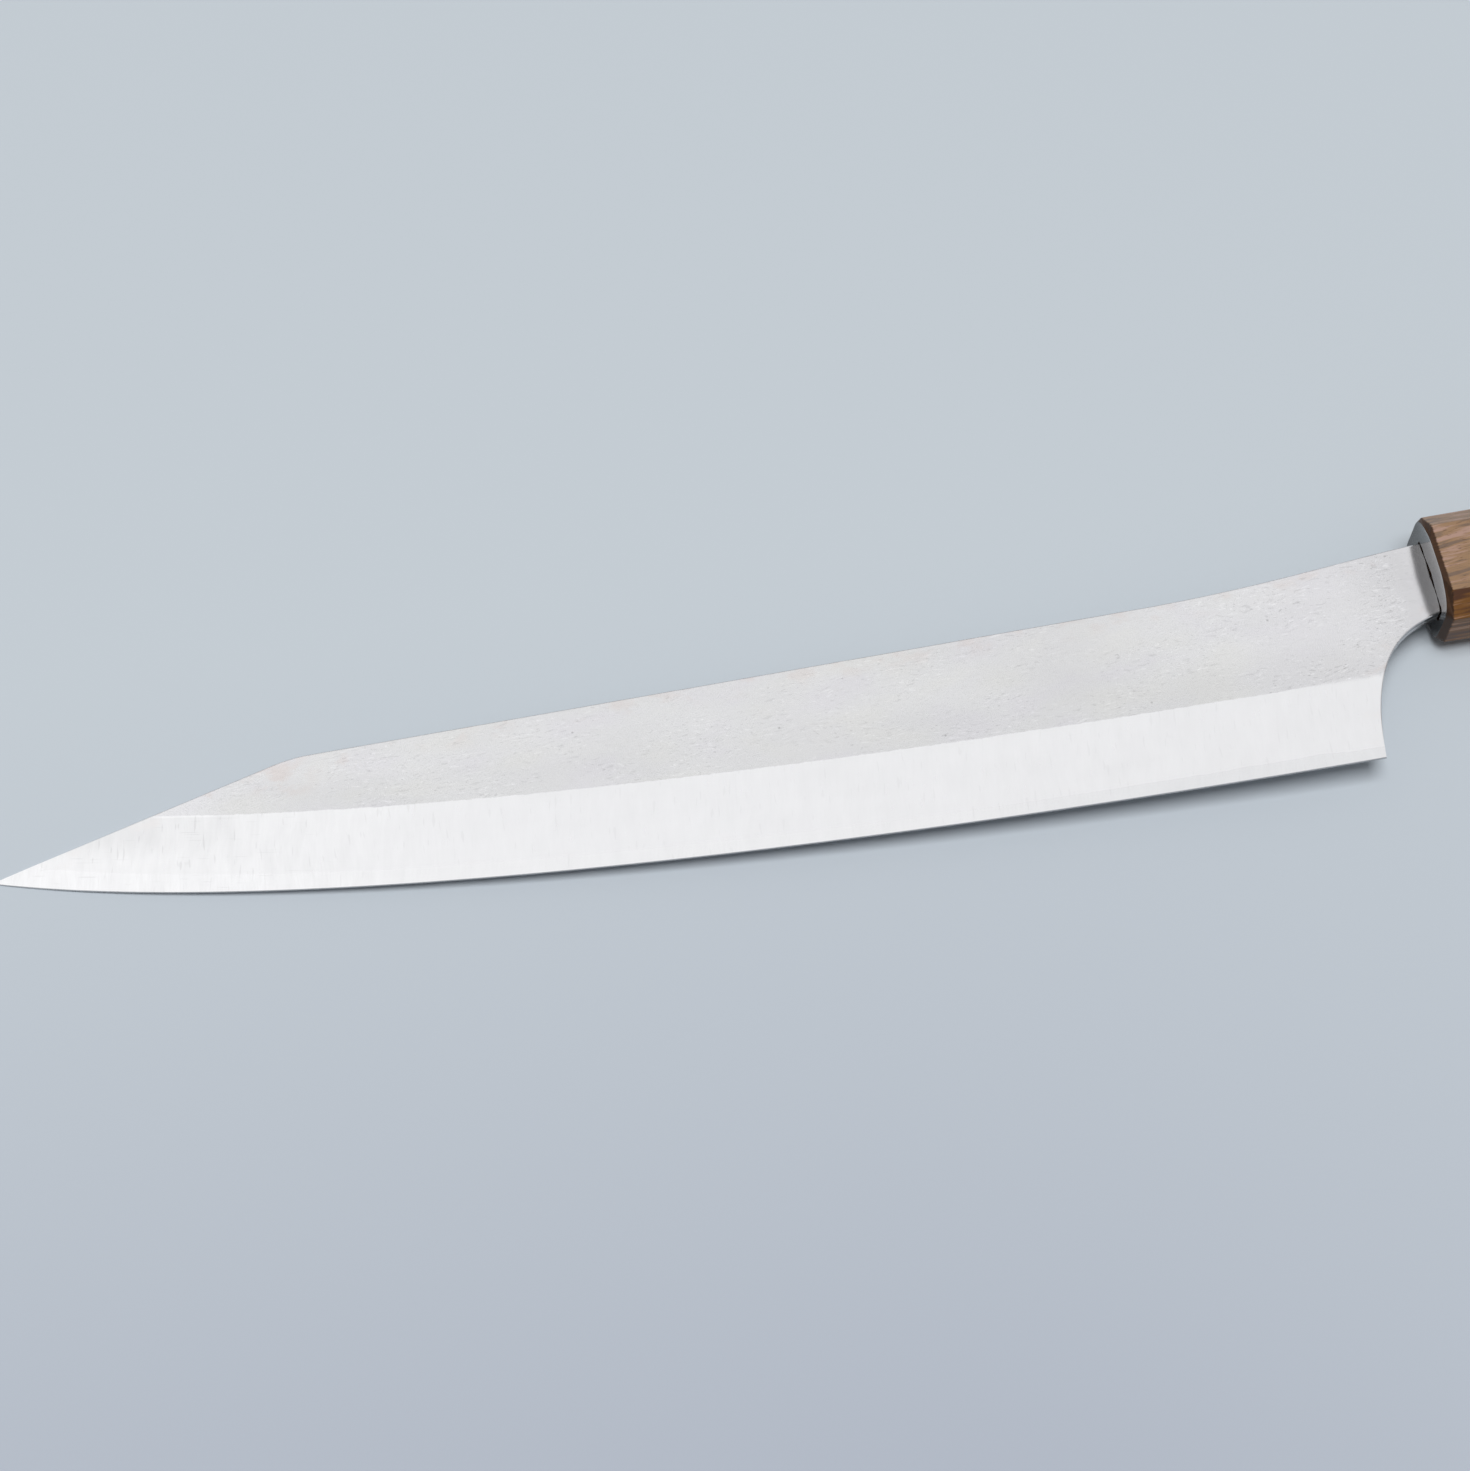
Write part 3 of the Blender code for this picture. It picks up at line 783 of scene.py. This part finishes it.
# %% Make a piece
def piece(name, skin, slot, *nodes):
    """Makes an object of a skin. It rides on the knife's one body and replaces the solids of these nodes."""
    mesh = bpy.data.meshes.new(name)
    mesh.from_pydata([at(*p) for p in skin.points], [], skin.faces)
    work = bmesh.new()
    work.from_mesh(mesh)
    work.verts.ensure_lookup_table()
    bmesh.ops.recalc_face_normals(work, faces=work.faces)
    open_edges = sum(len(e.link_faces) != 2 for e in work.edges)
    for pair in skin.sharp:
        found = work.edges.get([work.verts[i] for i in pair]) if pair[0] != pair[1] else None
        if found:
            found.smooth = False
    loose = [v for v in work.verts if not v.link_faces]
    bmesh.ops.delete(work, geom=loose, context="VERTS")
    work.to_mesh(mesh)
    work.free()
    for polygon in mesh.polygons:
        polygon.use_smooth = True
    made = bpy.data.objects.new(name, mesh)
    scene.collection.objects.link(made)
    even = made.modifiers.new("even_normals", "WEIGHTED_NORMAL")
    even.keep_sharp = True
    even.weight = 80
    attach(made, "root")
    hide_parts(*nodes)
    print(name, len(mesh.polygons), "faces,", open_edges, "open edges")
    return made


# %% Note where each point lies
BORDER_REACH = 6


def note_places(made):
    """Stores each point's share of the ridge's height and its distance from the outline."""
    outline = edge + choil + [Vector(p) for p in TANG] + neck[::-1] + clip_curve[::-1]
    outline += [spine_at(x) for x in range(-220, -58, 2)]
    outline += [TIP.lerp(clip_curve[0], i / 30) for i in range(30)]
    tree = KDTree(len(outline))
    for i, point in enumerate(outline):
        tree.insert((*point, 0), i)
    tree.balance()
    mesh = made.data
    share = mesh.attributes.new("ridge_share", "FLOAT", "POINT")
    border = mesh.attributes.new("from_border", "FLOAT", "POINT")
    for i, vertex in enumerate(mesh.vertices):
        p = (vertex.co - rim_middle) / MM
        share.data[i].value = (p.y - edge_at(p.x)) / ridge_above(p.x)
        border.data[i].value = min(BORDER_REACH, tree.find((p.x, p.y, 0))[2])


left_cladding = piece("left_cladding_ground", soft_layer(1), "cladding_steel", "left_cladding")
right_cladding = piece("right_cladding_ground", soft_layer(-1), "cladding_steel", "right_cladding")
core = piece("core_ground", core_layer(), "core_steel", "core_steel")
for layer in (left_cladding, right_cladding):
    note_places(layer)

# %% [markdown]
# ## The handle
#
# The handle is one block of wood with eight sides, a little thicker at the butt. Its front end is sawn and
# polished: the face is hollow by a fraction of a millimetre, so that it rises to a fine lip all round, and a
# worn chamfer leads from the lip to the long facets. Rings of points from front to butt describe all of
# that, and the slot for the tang is cut as more rings that turn back inside, so the whole handle is one
# closed skin. A prism with bevels and a Boolean cut would be quicker, but the hollow face, its lip and the
# slot's uneven mouth need points of their own.

# %% Sizes of the handle
FRONT = (11.75, 9.15)
REAR = (12.79, 9.985)
FACET = 4.4
CHAMFER = 0.93
RIM = (10.72, 9.05)
RIM_FACET = (6.8, 2.4)
RIM_ROUND = 5.0
RIM_RISE = 0.33
HOLLOW_MIDDLE = 0.23
HOLLOW_DEPTH = 0.48
SANDED = 0.45
ARC_STEPS = 6
SIDE_STEPS = 6
FACE_INSETS = (1.5, 1.05, 0.8, 0.45, 0.2, 0.06, 0)
CHAMFER_SHARES = (0.05, 0.5, 0.93)
FACET_ROWS = (3, 6, 9, 12, 16, *range(20, 141, 6))
BUTT_STEPS = ((1.35, 0.0), (1.15, 0.06), (0.15, 1.0), (0.0, 1.25))
print("the handle is", 2 * FRONT[0], "mm tall at the front and", 2 * REAR[0], "mm at the butt")


# %% Rings of the handle
def rounded_ring(corners, radius, side_steps):
    """Points round a convex outline: an arc at each corner and even steps along each side."""
    count = len(corners)
    arcs = []
    for i, point in enumerate(corners):
        back = (corners[i - 1] - point).normalized()
        ahead = (corners[(i + 1) % count] - point).normalized()
        arcs.append(rounded_corner(point, back, ahead, radius, ARC_STEPS))
    ring = []
    for i, arc in enumerate(arcs):
        ring += arc
        following = arcs[(i + 1) % count][0]
        ring += [arc[-1].lerp(following, step / side_steps) for step in range(1, side_steps)]
    return ring


def octagon(half, facet, radius, rise=0.0):
    """An eight-sided ring of y and z points, with its middle moved toward the spine by the rise."""
    corners = []
    for y_side, z_side in ((1, 1), (-1, 1), (-1, -1), (1, -1)):
        beside = Vector((y_side * half[0] + rise, z_side * (half[1] - facet[1])))
        above = Vector((y_side * (half[0] - facet[0]) + rise, z_side * half[1]))
        corners += [beside, above] if y_side * z_side > 0 else [above, beside]
    return rounded_ring(corners, radius, SIDE_STEPS)


def body_ring(x, inset=0.0):
    """The long facets' outline at x, moved in by the inset."""
    share = x / HANDLE_LENGTH
    half = [front + (rear - front) * share - inset for front, rear in zip(FRONT, REAR)]
    cut = FACET - inset * (2 - math.sqrt(2))
    return octagon(half, (cut, cut), SANDED)


def face_x(p):
    """How far back the hollow front face lies at a point of y and z."""
    return HOLLOW_MIDDLE - HOLLOW_DEPTH * (abs((p.x - RIM_RISE) / RIM[0]) ** 3 + abs(p.y / RIM[1]) ** 3)


def rim_ring(inset):
    """The front's rounded lip, moved in by the inset."""
    half = [side - inset for side in RIM]
    facet = [leg * small / side for leg, small, side in zip(RIM_FACET, half, RIM)]
    return octagon(half, facet, RIM_ROUND, RIM_RISE)


# %% [markdown]
# ## The slot's mouth
#
# The slot was opened with a hot iron and a knife, so its mouth isn't straight: it gapes beside the neck a
# little above the middle and again at its lower end, and there a dark line shows. The line could be
# painted on, but it would look wrong from a low angle. So the points of the mouth's own ring are pushed
# outward, and the gap is a real one.

# %% Rings of the slot
MOUTH = (8.3, 1.74, -0.15, 0.7)
NECK_ROOM = (8.3, 1.95, -0.15, 0.7)
POCKET = (6.6, 2.7, -0.3, 1.0)
POCKET_END = (4.65, 2.05, -0.3, 1.0)
MOUTH_DEPTH = 2.0
NECK_DEPTH = 5.35
SLOT_DEPTH = 103.15
SLOT_SIDE_STEPS = 30
GAPES = ((0.6, 1.9, 0.55), (-7.4, 0.8, 0.35), (6.3, 0.8, 0.15))


def slot_ring(half_y, half_z, middle_y, radius, gaping=False):
    """A rounded oblong of y and z points. A gaping one is pushed out unevenly on both sides."""
    signs = ((1, 1), (-1, 1), (-1, -1), (1, -1))
    corners = [Vector((middle_y + y * half_y, z * half_z)) for y, z in signs]
    ring = rounded_ring(corners, radius, SLOT_SIDE_STEPS)
    if not gaping:
        return ring
    opened = []
    for p in ring:
        push = 0.15 + 0.16 * wander(p.x, 1.3, 20 + p.y)
        for place, reach, depth in GAPES:
            push += depth * math.exp(-(((p.x - place) / reach) ** 2)) * (1.0 if p.y > 0 else 0.5)
        opened.append(p + Vector((0, math.copysign(max(0, push), p.y))))
    return opened


# %% Close the handle's skin
def row(skin, x, ring):
    """The ring's points, all at x."""
    return [skin.at(x, p.x, p.y) for p in ring]


def face_row(skin, points):
    """These points on the hollow front face."""
    return [skin.at(face_x(p), p.x, p.y) for p in points]


def outer_rows(skin, face_rings):
    """Rows from the front face over the lip and the chamfer, then along the facets to the butt."""
    lip = face_rings[-1]
    rows = [face_row(skin, ring) for ring in face_rings]
    for share in CHAMFER_SHARES:
        ring = [a.lerp(b, share) for a, b in zip(lip, body_ring(CHAMFER))]
        places = [face_x(a) + (CHAMFER - face_x(a)) * share for a in lip]
        rows.append([skin.at(x, p.x, p.y) for x, p in zip(places, ring)])
    rings = [(CHAMFER + 0.05, body_ring(CHAMFER, 0.01)), (CHAMFER + 0.2, body_ring(CHAMFER + 0.2))]
    rings += [(x, body_ring(x)) for x in FACET_ROWS]
    rings += [(HANDLE_LENGTH - back, body_ring(HANDLE_LENGTH - back, inset)) for back, inset in BUTT_STEPS]
    return rows + [row(skin, x, ring) for x, ring in rings]


def handle_skin():
    """The whole handle, outside and inside, as one closed skin."""
    skin = Skin()
    face_rings = [rim_ring(inset) for inset in FACE_INSETS]
    rows = outer_rows(skin, face_rings)
    mouth = slot_ring(*MOUTH, gaping=True)
    deep = slot_ring(*NECK_ROOM)
    inner_rows = [face_row(skin, mouth), row(skin, MOUTH_DEPTH, deep), row(skin, NECK_DEPTH, deep)]
    inner_rows.append(row(skin, NECK_DEPTH, slot_ring(*POCKET)))
    inner_rows.append(row(skin, SLOT_DEPTH, slot_ring(*POCKET_END)))
    for around in (rows, inner_rows):
        for first, second in zip(around, around[1:]):
            skin.strip(first, second)
        skin.face(*around[-1])
    for ring in inner_rows:
        skin.crease(ring + ring[:1])

    rim = face_rings[0]
    between = lambda p: encloses(rim, p) and not encloses(mouth, p)
    free = grid_points([rim, mouth], between, spacing=0.9, clear=0.4)
    ids = rows[0] + inner_rows[0] + face_row(skin, free)
    hole = range(len(rim), len(rim) + len(mouth))
    for triangle in fill(rim + mouth + free, range(len(rim)), hole=hole):
        skin.face(*[ids[i] for i in triangle])
    return skin


handle = piece("handle_sanded", handle_skin(), "handle_wood", "handle")

# %% [markdown]
# ## The soft steel
#
# Above the ridge the steel is left as the forge and the polishing clay leave it: a matte, finely dimpled
# skin with a few dark pits and faint stains. Below the ridge it is ground, and the stones leave soft
# streaks across the edge. The narrow walls of the plate, such as the back of the heel, get a painted shade:
# their colour is darkened where the surface faces sideways. All of it is bare metal, so the shader is fully
# metallic, and the looks differ in colour, roughness and relief. Flat and bevel could be two materials, but
# their border is slightly ragged. So one material mixes both looks, and the stored share of the ridge's
# height tells it which of them a point gets.

# %% Colours and zones of the blade
MATTE = (0.742, 0.742, 0.744)
MATTE_OLIVE = (0.747, 0.746, 0.735)
MATTE_VIOLET = (0.736, 0.730, 0.746)
STAIN = (0.718, 0.668, 0.648)
GROUND_STAIN = (0.905, 0.872, 0.855)
GROUND = (0.903, 0.903, 0.908)
GROUND_TIP = (0.945, 0.945, 0.945)

NEAR_TIP = (-185, -250)
FLAT_END = (-238, -250)
BY_NECK = (-48, -28)
EVENED = (-8.5, -5.5)
AT_HANDLE = (-5.5, -2.5)
print("the flat's dimples fade out toward the tip from x =", FLAT_END[0], "to", FLAT_END[1])


# %% The matte flats
def dimples(steel, along, across):
    """Dents, and lips raised beside them, that lie in loose groups. Each is 0 where there is none."""
    curls = 3.2 * steel.cloud((7, 7, 7), 1, seed=90)
    curled = steel.node("ShaderNodeCombineXYZ", None, {0: along - 0.2 * across, 1: across + curls, 2: 0.0})
    dashes = steel.cloud((2.4, 0.50, 1), 1, curled, 7)
    flecks = steel.cloud((1.0, 0.38, 1), 1, curled, 55)
    gathered = 0.25 + 0.75 * steel.step(steel.cloud((13, 8, 8), 2, seed=77), 0.38, 0.60)
    fading = 1 - 0.85 * steel.step(along, *FLAT_END)
    strength = fading * (1 + 0.5 * steel.step(along, *BY_NECK) - 1.1 * steel.step(along, *EVENED))
    dents = 0.6 * steel.step(dashes, 0.63, 0.68) + steel.step(flecks, 0.66, 0.71)
    lips = 0.7 * steel.step(dashes, 0.37, 0.32) + steel.step(flecks, 0.33, 0.28)
    return gathered * dents * strength, gathered * lips * strength


def matte_colour(steel, along, stains):
    """The flats' own grey, with olive and violet tints and faint stains."""
    tint = steel.cloud((18, 8, 8), 3, seed=4)
    colour = steel.mix(steel.step(tint, 0.48, 0.68), MATTE, MATTE_OLIVE)
    colour = steel.mix(steel.step(tint, 0.50, 0.34), colour, MATTE_VIOLET)
    colour = steel.mix(0.6 * steel.step(along, *BY_NECK), colour, MATTE_VIOLET)
    return steel.mix((0.55 + 0.45 * steel.step(along, *NEAR_TIP)) * stains, colour, STAIN)


def broad_level(steel, along, share):
    """How bright each zone of the flats is. It is about 1."""
    patches = steel.cloud((22, 8, 8), 2, seed=2)
    near_neck = steel.step(along, -80, -48) * steel.step(along, -8, -20) * steel.step(share, 1.1, 1.8)
    upper_flat = steel.step(share, 1.25, 1.65) * steel.step(along, -70, -110)
    level = 1.018 + 0.10 * (patches - 0.5) + 0.075 * near_neck + 0.035 * upper_flat
    level = level + 0.03 * steel.step(along, *NEAR_TIP) + 0.055 * steel.step(along, *FLAT_END)
    return level + 0.05 * steel.step(along, *AT_HANDLE) - 0.045 * steel.step(along, *EVENED)


def matte_skin(steel, along, stains, share):
    """Colour, roughness and relief of the dimpled flats. Their colour holds painted shade in the dents and a
    painted highlight on the lips.
    """
    dents, lips = dimples(steel, along, steel.part(steel.place, 1))
    grit = steel.cloud((0.17, 0.13, 0.13), 1, seed=12)
    pits = steel.spots(5.2, 0.24, 3.0) * steel.step(steel.cloud((6, 6, 6), 1, seed=40), 0.50, 0.56)
    level = broad_level(steel, along, share)
    # Painted shade in the dents and a painted highlight on the lips, on top of the relief that their bump
    # gives.
    level = level + 0.12 * lips - 0.17 * dents + 0.03 * (grit - 0.5) - 0.30 * pits
    evened = steel.step(along, *EVENED)
    uneven = 0.85 + 0.15 * steel.step(along, *NEAR_TIP) - 0.77 * evened
    haze = steel.step(grit, 0.46, 0.60) * uneven + 0.06 + 0.12 * evened
    relief = 0.5 + 0.3 * (lips - dents) - 0.4 * pits
    return steel.scaled(matte_colour(steel, along, stains), level), 0.08 + 0.40 * haze, relief


# %% The ground bevel
def ground_streaks(steel, along):
    """Brightness of a surface that a stone was drawn over, across the edge. It is about 1."""
    across = steel.part(steel.place, 1)
    waves = 2.5 * steel.cloud((16, 12, 12), 1, seed=47)
    tilted = steel.node("ShaderNodeCombineXYZ", None, {0: along - 0.12 * across + waves, 1: across, 2: 0.0})
    broad = steel.cloud((2.6, 9, 9), 3, tilted, 5)
    fine = steel.cloud((0.50, 4, 4), 2, tilted, 9)
    mist = steel.cloud((16, 6, 6), 2, seed=15)
    uneven = (0.07 * (broad - 0.5) + 0.04 * (fine - 0.5)) * (1 + 1.3 * steel.step(along, -190, -240))
    return 1 + uneven + 0.06 * (mist - 0.5), fine


def scratches(steel, along):
    """A few short dark hairlines across the bevel, 1 on a line."""
    across = steel.part(steel.place, 1)
    bent = along - 0.1 * across + 2.0 * steel.cloud((30, 14, 14), 1, seed=52)
    tilted = steel.node("ShaderNodeCombineXYZ", None, {0: bent, 1: across, 2: 0.0})
    lines = steel.cloud((0.6, 4, 4), 0, tilted, 23)
    return steel.step(lines, 0.71, 0.78)


def rubs(steel, along):
    """Fine dark rubs that run along the blade close to its tip, 1 on a line."""
    across = steel.part(steel.place, 1)
    sloped = steel.node("ShaderNodeCombineXYZ", None, {0: along, 1: across + 0.17 * along, 2: 0.0})
    lines = steel.cloud((7, 0.30, 1), 1, sloped, 64)
    return steel.step(lines, 0.66, 0.74) * steel.step(along, -215, -240)


def ground_skin(steel, along, stains, share):
    """Colour of the ground bevel, and its fine streaks."""
    streaks, fine = ground_streaks(steel, along)
    to_tip = steel.step(along, -170, -285)
    ground = steel.mix(to_tip, GROUND, GROUND_TIP)
    upper_tip = steel.step(along, -225, -268) * steel.step(share, 0.35, 0.75)
    marks = (0.04 + 0.07 * to_tip) * scratches(steel, along) + 0.08 * rubs(steel, along)
    glint = steel.step(share, 0.965, 0.985) * steel.step(along, -238, -248)
    ground = steel.scaled(ground, streaks - marks - 0.09 * upper_tip + 0.07 * glint)
    return steel.mix((0.25 + 0.3 * upper_tip) * stains, ground, GROUND_STAIN), fine


# %% The soft steel's finish
def faint_stains(steel, along, share):
    """Stains along the outline, and a stronger one beside the corner of the tip."""
    rust = steel.cloud((6, 4, 4), 3, seed=31)
    stains = steel.step(rust, 0.52, 0.68) * (1 - steel.step(steel.stored("from_border"), 1.0, 5.5))
    by_corner = steel.step(along, -238, -233) * steel.step(along, -222, -229) * steel.step(share, 1.15, 1.35)
    return steel.maths("MAXIMUM", stains, 0.9 * by_corner * steel.step(rust, 0.42, 0.60))


def above_ridge(steel, along, share):
    """1 on the flats and 0 on the bevel. The border is crisp, and softer close to the heel."""
    ragged = share + 0.025 * (steel.cloud((1.1, 1.1, 1.1), 2, seed=88) - 0.5)
    crisp = steel.step(ragged, 0.995, 1.005)
    softened = steel.step(ragged, 0.965, 1.045)
    return crisp + steel.step(along, -34, -22) * (softened - crisp)


def soft_steel(name):
    """The whole finish of one soft layer."""
    steel = Finish(name)
    share = steel.stored("ridge_share")
    along = steel.part(steel.place, 0)
    stains = faint_stains(steel, along, share)
    matte, matte_rough, relief = matte_skin(steel, along, stains, share)
    ground, fine = ground_skin(steel, along, stains, share)
    flat = above_ridge(steel, along, share)
    sideways = steel.part(steel.node("ShaderNodeNewGeometry", out=1), 2)
    # Painted shade: the steel's colour is darkened where the surface faces sideways.
    painted_wall_shade = 0.55 + 0.45 * steel.step(steel.maths("ABSOLUTE", sideways), 0.15, 0.6)
    steel.set("Metallic", 1.0)
    steel.set("Base Color", steel.scaled(steel.mix(flat, ground, matte), painted_wall_shade))
    ground_rough = 0.24 + 0.12 * fine
    steel.set("Roughness", ground_rough + flat * (matte_rough - ground_rough))
    steel.bump(flat * relief + (1 - flat) * 0.2 * fine, 0.004)
    return steel.material


left_cladding.data.materials.append(soft_steel("soft_steel_left"))
right_cladding.data.materials.append(soft_steel("soft_steel_right"))
print("the soft steel takes", len(left_cladding.data.materials[0].node_tree.nodes), "nodes")

# %% [markdown]
# ## The hard steel
#
# The core takes a finer, slightly darker polish near the heel, where its upper border shows as a wavy line.
# Toward the tip the stones have made both steels almost alike. The core could share the soft steel's
# material, but a short one of its own is easier to read. It uses the same streaks and rubs, because the
# same strokes of the stone made them.

# %% The hard core
CORE_HEEL = (0.852, 0.854, 0.860)
CORE_MIDDLE = (0.902, 0.902, 0.905)
CORE_TIP = (0.962, 0.962, 0.964)


def hard_steel():
    """The finish of the core. Only its ground part is seen."""
    steel = Finish("hard_steel")
    along = steel.part(steel.place, 0)
    streaks, fine = ground_streaks(steel, along)
    wavering = along + 26 * (steel.cloud((9, 9, 9), 3, seed=61) - 0.5)
    colour = steel.mix(steel.step(wavering, -110, -62), CORE_MIDDLE, CORE_HEEL)
    colour = steel.mix(steel.step(along, -170, -280), colour, CORE_TIP)
    steel.set("Metallic", 1.0)
    marks = 0.03 * scratches(steel, along) + 0.07 * rubs(steel, along)
    steel.set("Base Color", steel.scaled(colour, streaks - marks))
    steel.set("Roughness", 0.20 + 0.06 * fine)
    steel.bump(fine, 0.0006)
    return steel.material


core.data.materials.append(hard_steel())
print("the hard steel takes", len(core.data.materials[0].node_tree.nodes), "nodes")

# %% [markdown]
# ## The wood
#
# The handle is an oiled brown hardwood. Its streaks run a few degrees off the handle's axis, so each facet
# cuts them differently. A picture of wood wrapped round it would bend over every edge. One solid pattern in
# space, long along the grain and short across it, runs through the block as real grain does, and gives
# every facet its own figure. The broad facets get a painted sheen: a paler, hazier copy of the wood's colours
# stands in for the light's reflection in the oil. The sawn ends soak up oil and turn nearly black, and the
# polish on them mirrors what stands beside them. On both sides of the neck, the fine lip round the front gets
# a painted highlight: its end grain is coloured pale grey.

# %% Streaks and pores
GRAIN_TILT = (0.05, 0.06, math.radians(-2.5))
WOOD_DARK = (0.062, 0.021, 0.006)
WOOD_GOLD = (0.150, 0.060, 0.009)
WOOD_PALE = (0.310, 0.170, 0.098)
SHEEN_PAINT_DARK = (0.168, 0.112, 0.080)
SHEEN_PAINT_MIDDLE = (0.275, 0.167, 0.093)
SHEEN_PAINT_PALE = (0.370, 0.235, 0.183)


def wood_figure(wood):
    """The broad figure, the fine threads in it and the pores, all long along the grain."""
    settings = {"rotation_type": "EULER_XYZ"}
    grain = wood.node("ShaderNodeVectorRotate", settings, {"Vector": wood.place, "Rotation": GRAIN_TILT})
    bend = wood.cloud((26, 7, 7), 2, grain, 1)
    shift = wood.node("ShaderNodeCombineXYZ", None, {0: 0.0, 1: 3.0 * bend, 2: 2.0 * bend})
    bent = wood.vector("ADD", grain, shift)
    bands = wood.cloud((22, 1.7, 2.2), 3, bent, 6)
    threads = wood.cloud((12, 0.42, 0.5), 2, bent, 14)
    pores = wood.step(wood.cloud((2.6, 0.16, 0.18), 1, bent, 18), 0.63, 0.72)
    return 0.7 * bands + 0.3 * threads, threads, pores


def three_tones(wood, figure, dark, middle_tone, pale):
    """A colour for the low, the middle and the high values of the figure."""
    colour = wood.mix(wood.step(figure, 0.495, 0.42), middle_tone, dark)
    return wood.mix(wood.step(figure, 0.505, 0.59), colour, pale)


# %% The dark ends
END_GRAIN = (0.016, 0.014, 0.012)
CHAMFER_WOOD = (0.042, 0.019, 0.008)
LIP_HIGHLIGHT_PAINT = (0.20, 0.19, 0.19)


def end_colour(wood, along):
    """The nearly black end grain, with a painted highlight in pale grey on the front's lip beside the neck.
    """
    dots = wood.cloud((0.5, 0.35, 0.35), 2, seed=70)
    sideways = wood.maths("ABSOLUTE", wood.part(wood.place, 2))
    upward = wood.maths("ABSOLUTE", wood.part(wood.place, 1))
    beside_neck = wood.step(sideways, 5.0, 7.5) * wood.step(upward, 8.5, 6.5)
    # Painted highlight: the lip beside the neck is coloured pale grey.
    lip_highlight = wood.step(along, -0.10, -0.20) * beside_neck
    return wood.mix(lip_highlight, wood.scaled(END_GRAIN, 0.5 + dots), LIP_HIGHLIGHT_PAINT)


# %% The oiled wood
def oiled_wood():
    """The whole finish of the handle. A thin coat of oil lies on it, thickest on the front face."""
    wood = Finish("oiled_hardwood")
    figure, threads, pores = wood_figure(wood)
    oiled = three_tones(wood, figure, WOOD_DARK, WOOD_GOLD, WOOD_PALE)
    painted_sheen = three_tones(wood, figure, SHEEN_PAINT_DARK, SHEEN_PAINT_MIDDLE, SHEEN_PAINT_PALE)
    normal = wood.node("ShaderNodeNewGeometry", out=1)
    # Painted sheen: where a facet faces up, or toward the spine, a paler copy of the colours stands in for
    # the light's reflection.
    broad = wood.maths("ABSOLUTE", wood.part(normal, 2)) + 0.35 * wood.part(normal, 1)
    colour = wood.mix(wood.step(broad, 0.60, 0.85), oiled, painted_sheen)
    colour = wood.mix(0.55 * pores, colour, WOOD_DARK)
    along = wood.part(wood.place, 0)
    chamfer = 1 - wood.step(along + 0.5 * (threads - 0.5), 0.72, 1.12)
    colour = wood.mix(chamfer, colour, wood.scaled(CHAMFER_WOOD, 0.5 + threads))
    front_face = wood.step(wood.part(normal, 0), -0.85, -0.95)
    butt_face = wood.step(along, HANDLE_LENGTH - 1.1, HANDLE_LENGTH - 0.7)
    ends = wood.maths("MAXIMUM", front_face, butt_face)
    wood.set("Base Color", wood.mix(ends, colour, end_colour(wood, along)))
    wood.set("Roughness", 0.40 + 0.25 * threads)
    wood.set("Specular IOR Level", 0.15)
    wood.set("Coat Weight", 0.45 - 0.25 * chamfer + 0.78 * front_face)
    wood.set("Coat IOR", 1.55)
    wood.set("Coat Roughness", 0.08)
    wood.bump(threads * 0.5 - pores, 0.015)
    return wood.material


handle.data.materials.append(oiled_wood())
print("the wood takes", len(handle.data.materials[0].node_tree.nodes), "nodes")

# %% [markdown]
# ## The bedding and the table
#
# The resin that holds the tang is out of sight, apart from the dark line round the neck, so its solid stays
# as it is and only gets a material. The table is a plain pale card with a painted shade: its colour darkens
# toward the front, and most of all in front of the tip. The light could make that shade, but it would darken
# the knife as well, so the shade is painted into the card's colour.

# %% The last two finishes
RESIN_DARK = (0.022, 0.017, 0.013)
RESIN_PALE = (0.045, 0.036, 0.028)
CARD_BACK = (0.511, 0.560, 0.602)
CARD_FRONT = (0.361, 0.394, 0.473)
SHADE_START = 30
SHADE_LENGTH = 245


def cured_resin():
    """Dark resin, slightly uneven in colour and gloss."""
    resin = Finish("cured_resin")
    grain = resin.cloud((0.8, 0.8, 0.8), 3)
    resin.set("Base Color", resin.mix(grain, RESIN_DARK, RESIN_PALE))
    resin.set("Roughness", 0.3 + 0.3 * grain)
    resin.bump(grain, 0.05)
    return resin.material


def pale_card():
    """A matte card with a painted shade that deepens evenly toward the front."""
    card = Finish("pale_card")
    # Painted shade: the card's colour darkens toward the front, and less on the handle's side.
    toward_front = (SHADE_START - card.part(card.place, 1)) * (1 / SHADE_LENGTH)
    to_right = card.step(card.part(card.place, 0), -140, 20)
    shade = card.maths("MAXIMUM", toward_front * (1 - 0.35 * to_right), 0.0) ** 1.25
    card.set("Base Color", card.mix(shade, CARD_BACK, CARD_FRONT))
    card.set("Roughness", 0.9)
    return card.material


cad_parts["tang_bedding"].data.materials[0] = cured_resin()
floor_mesh.materials.append(pale_card())
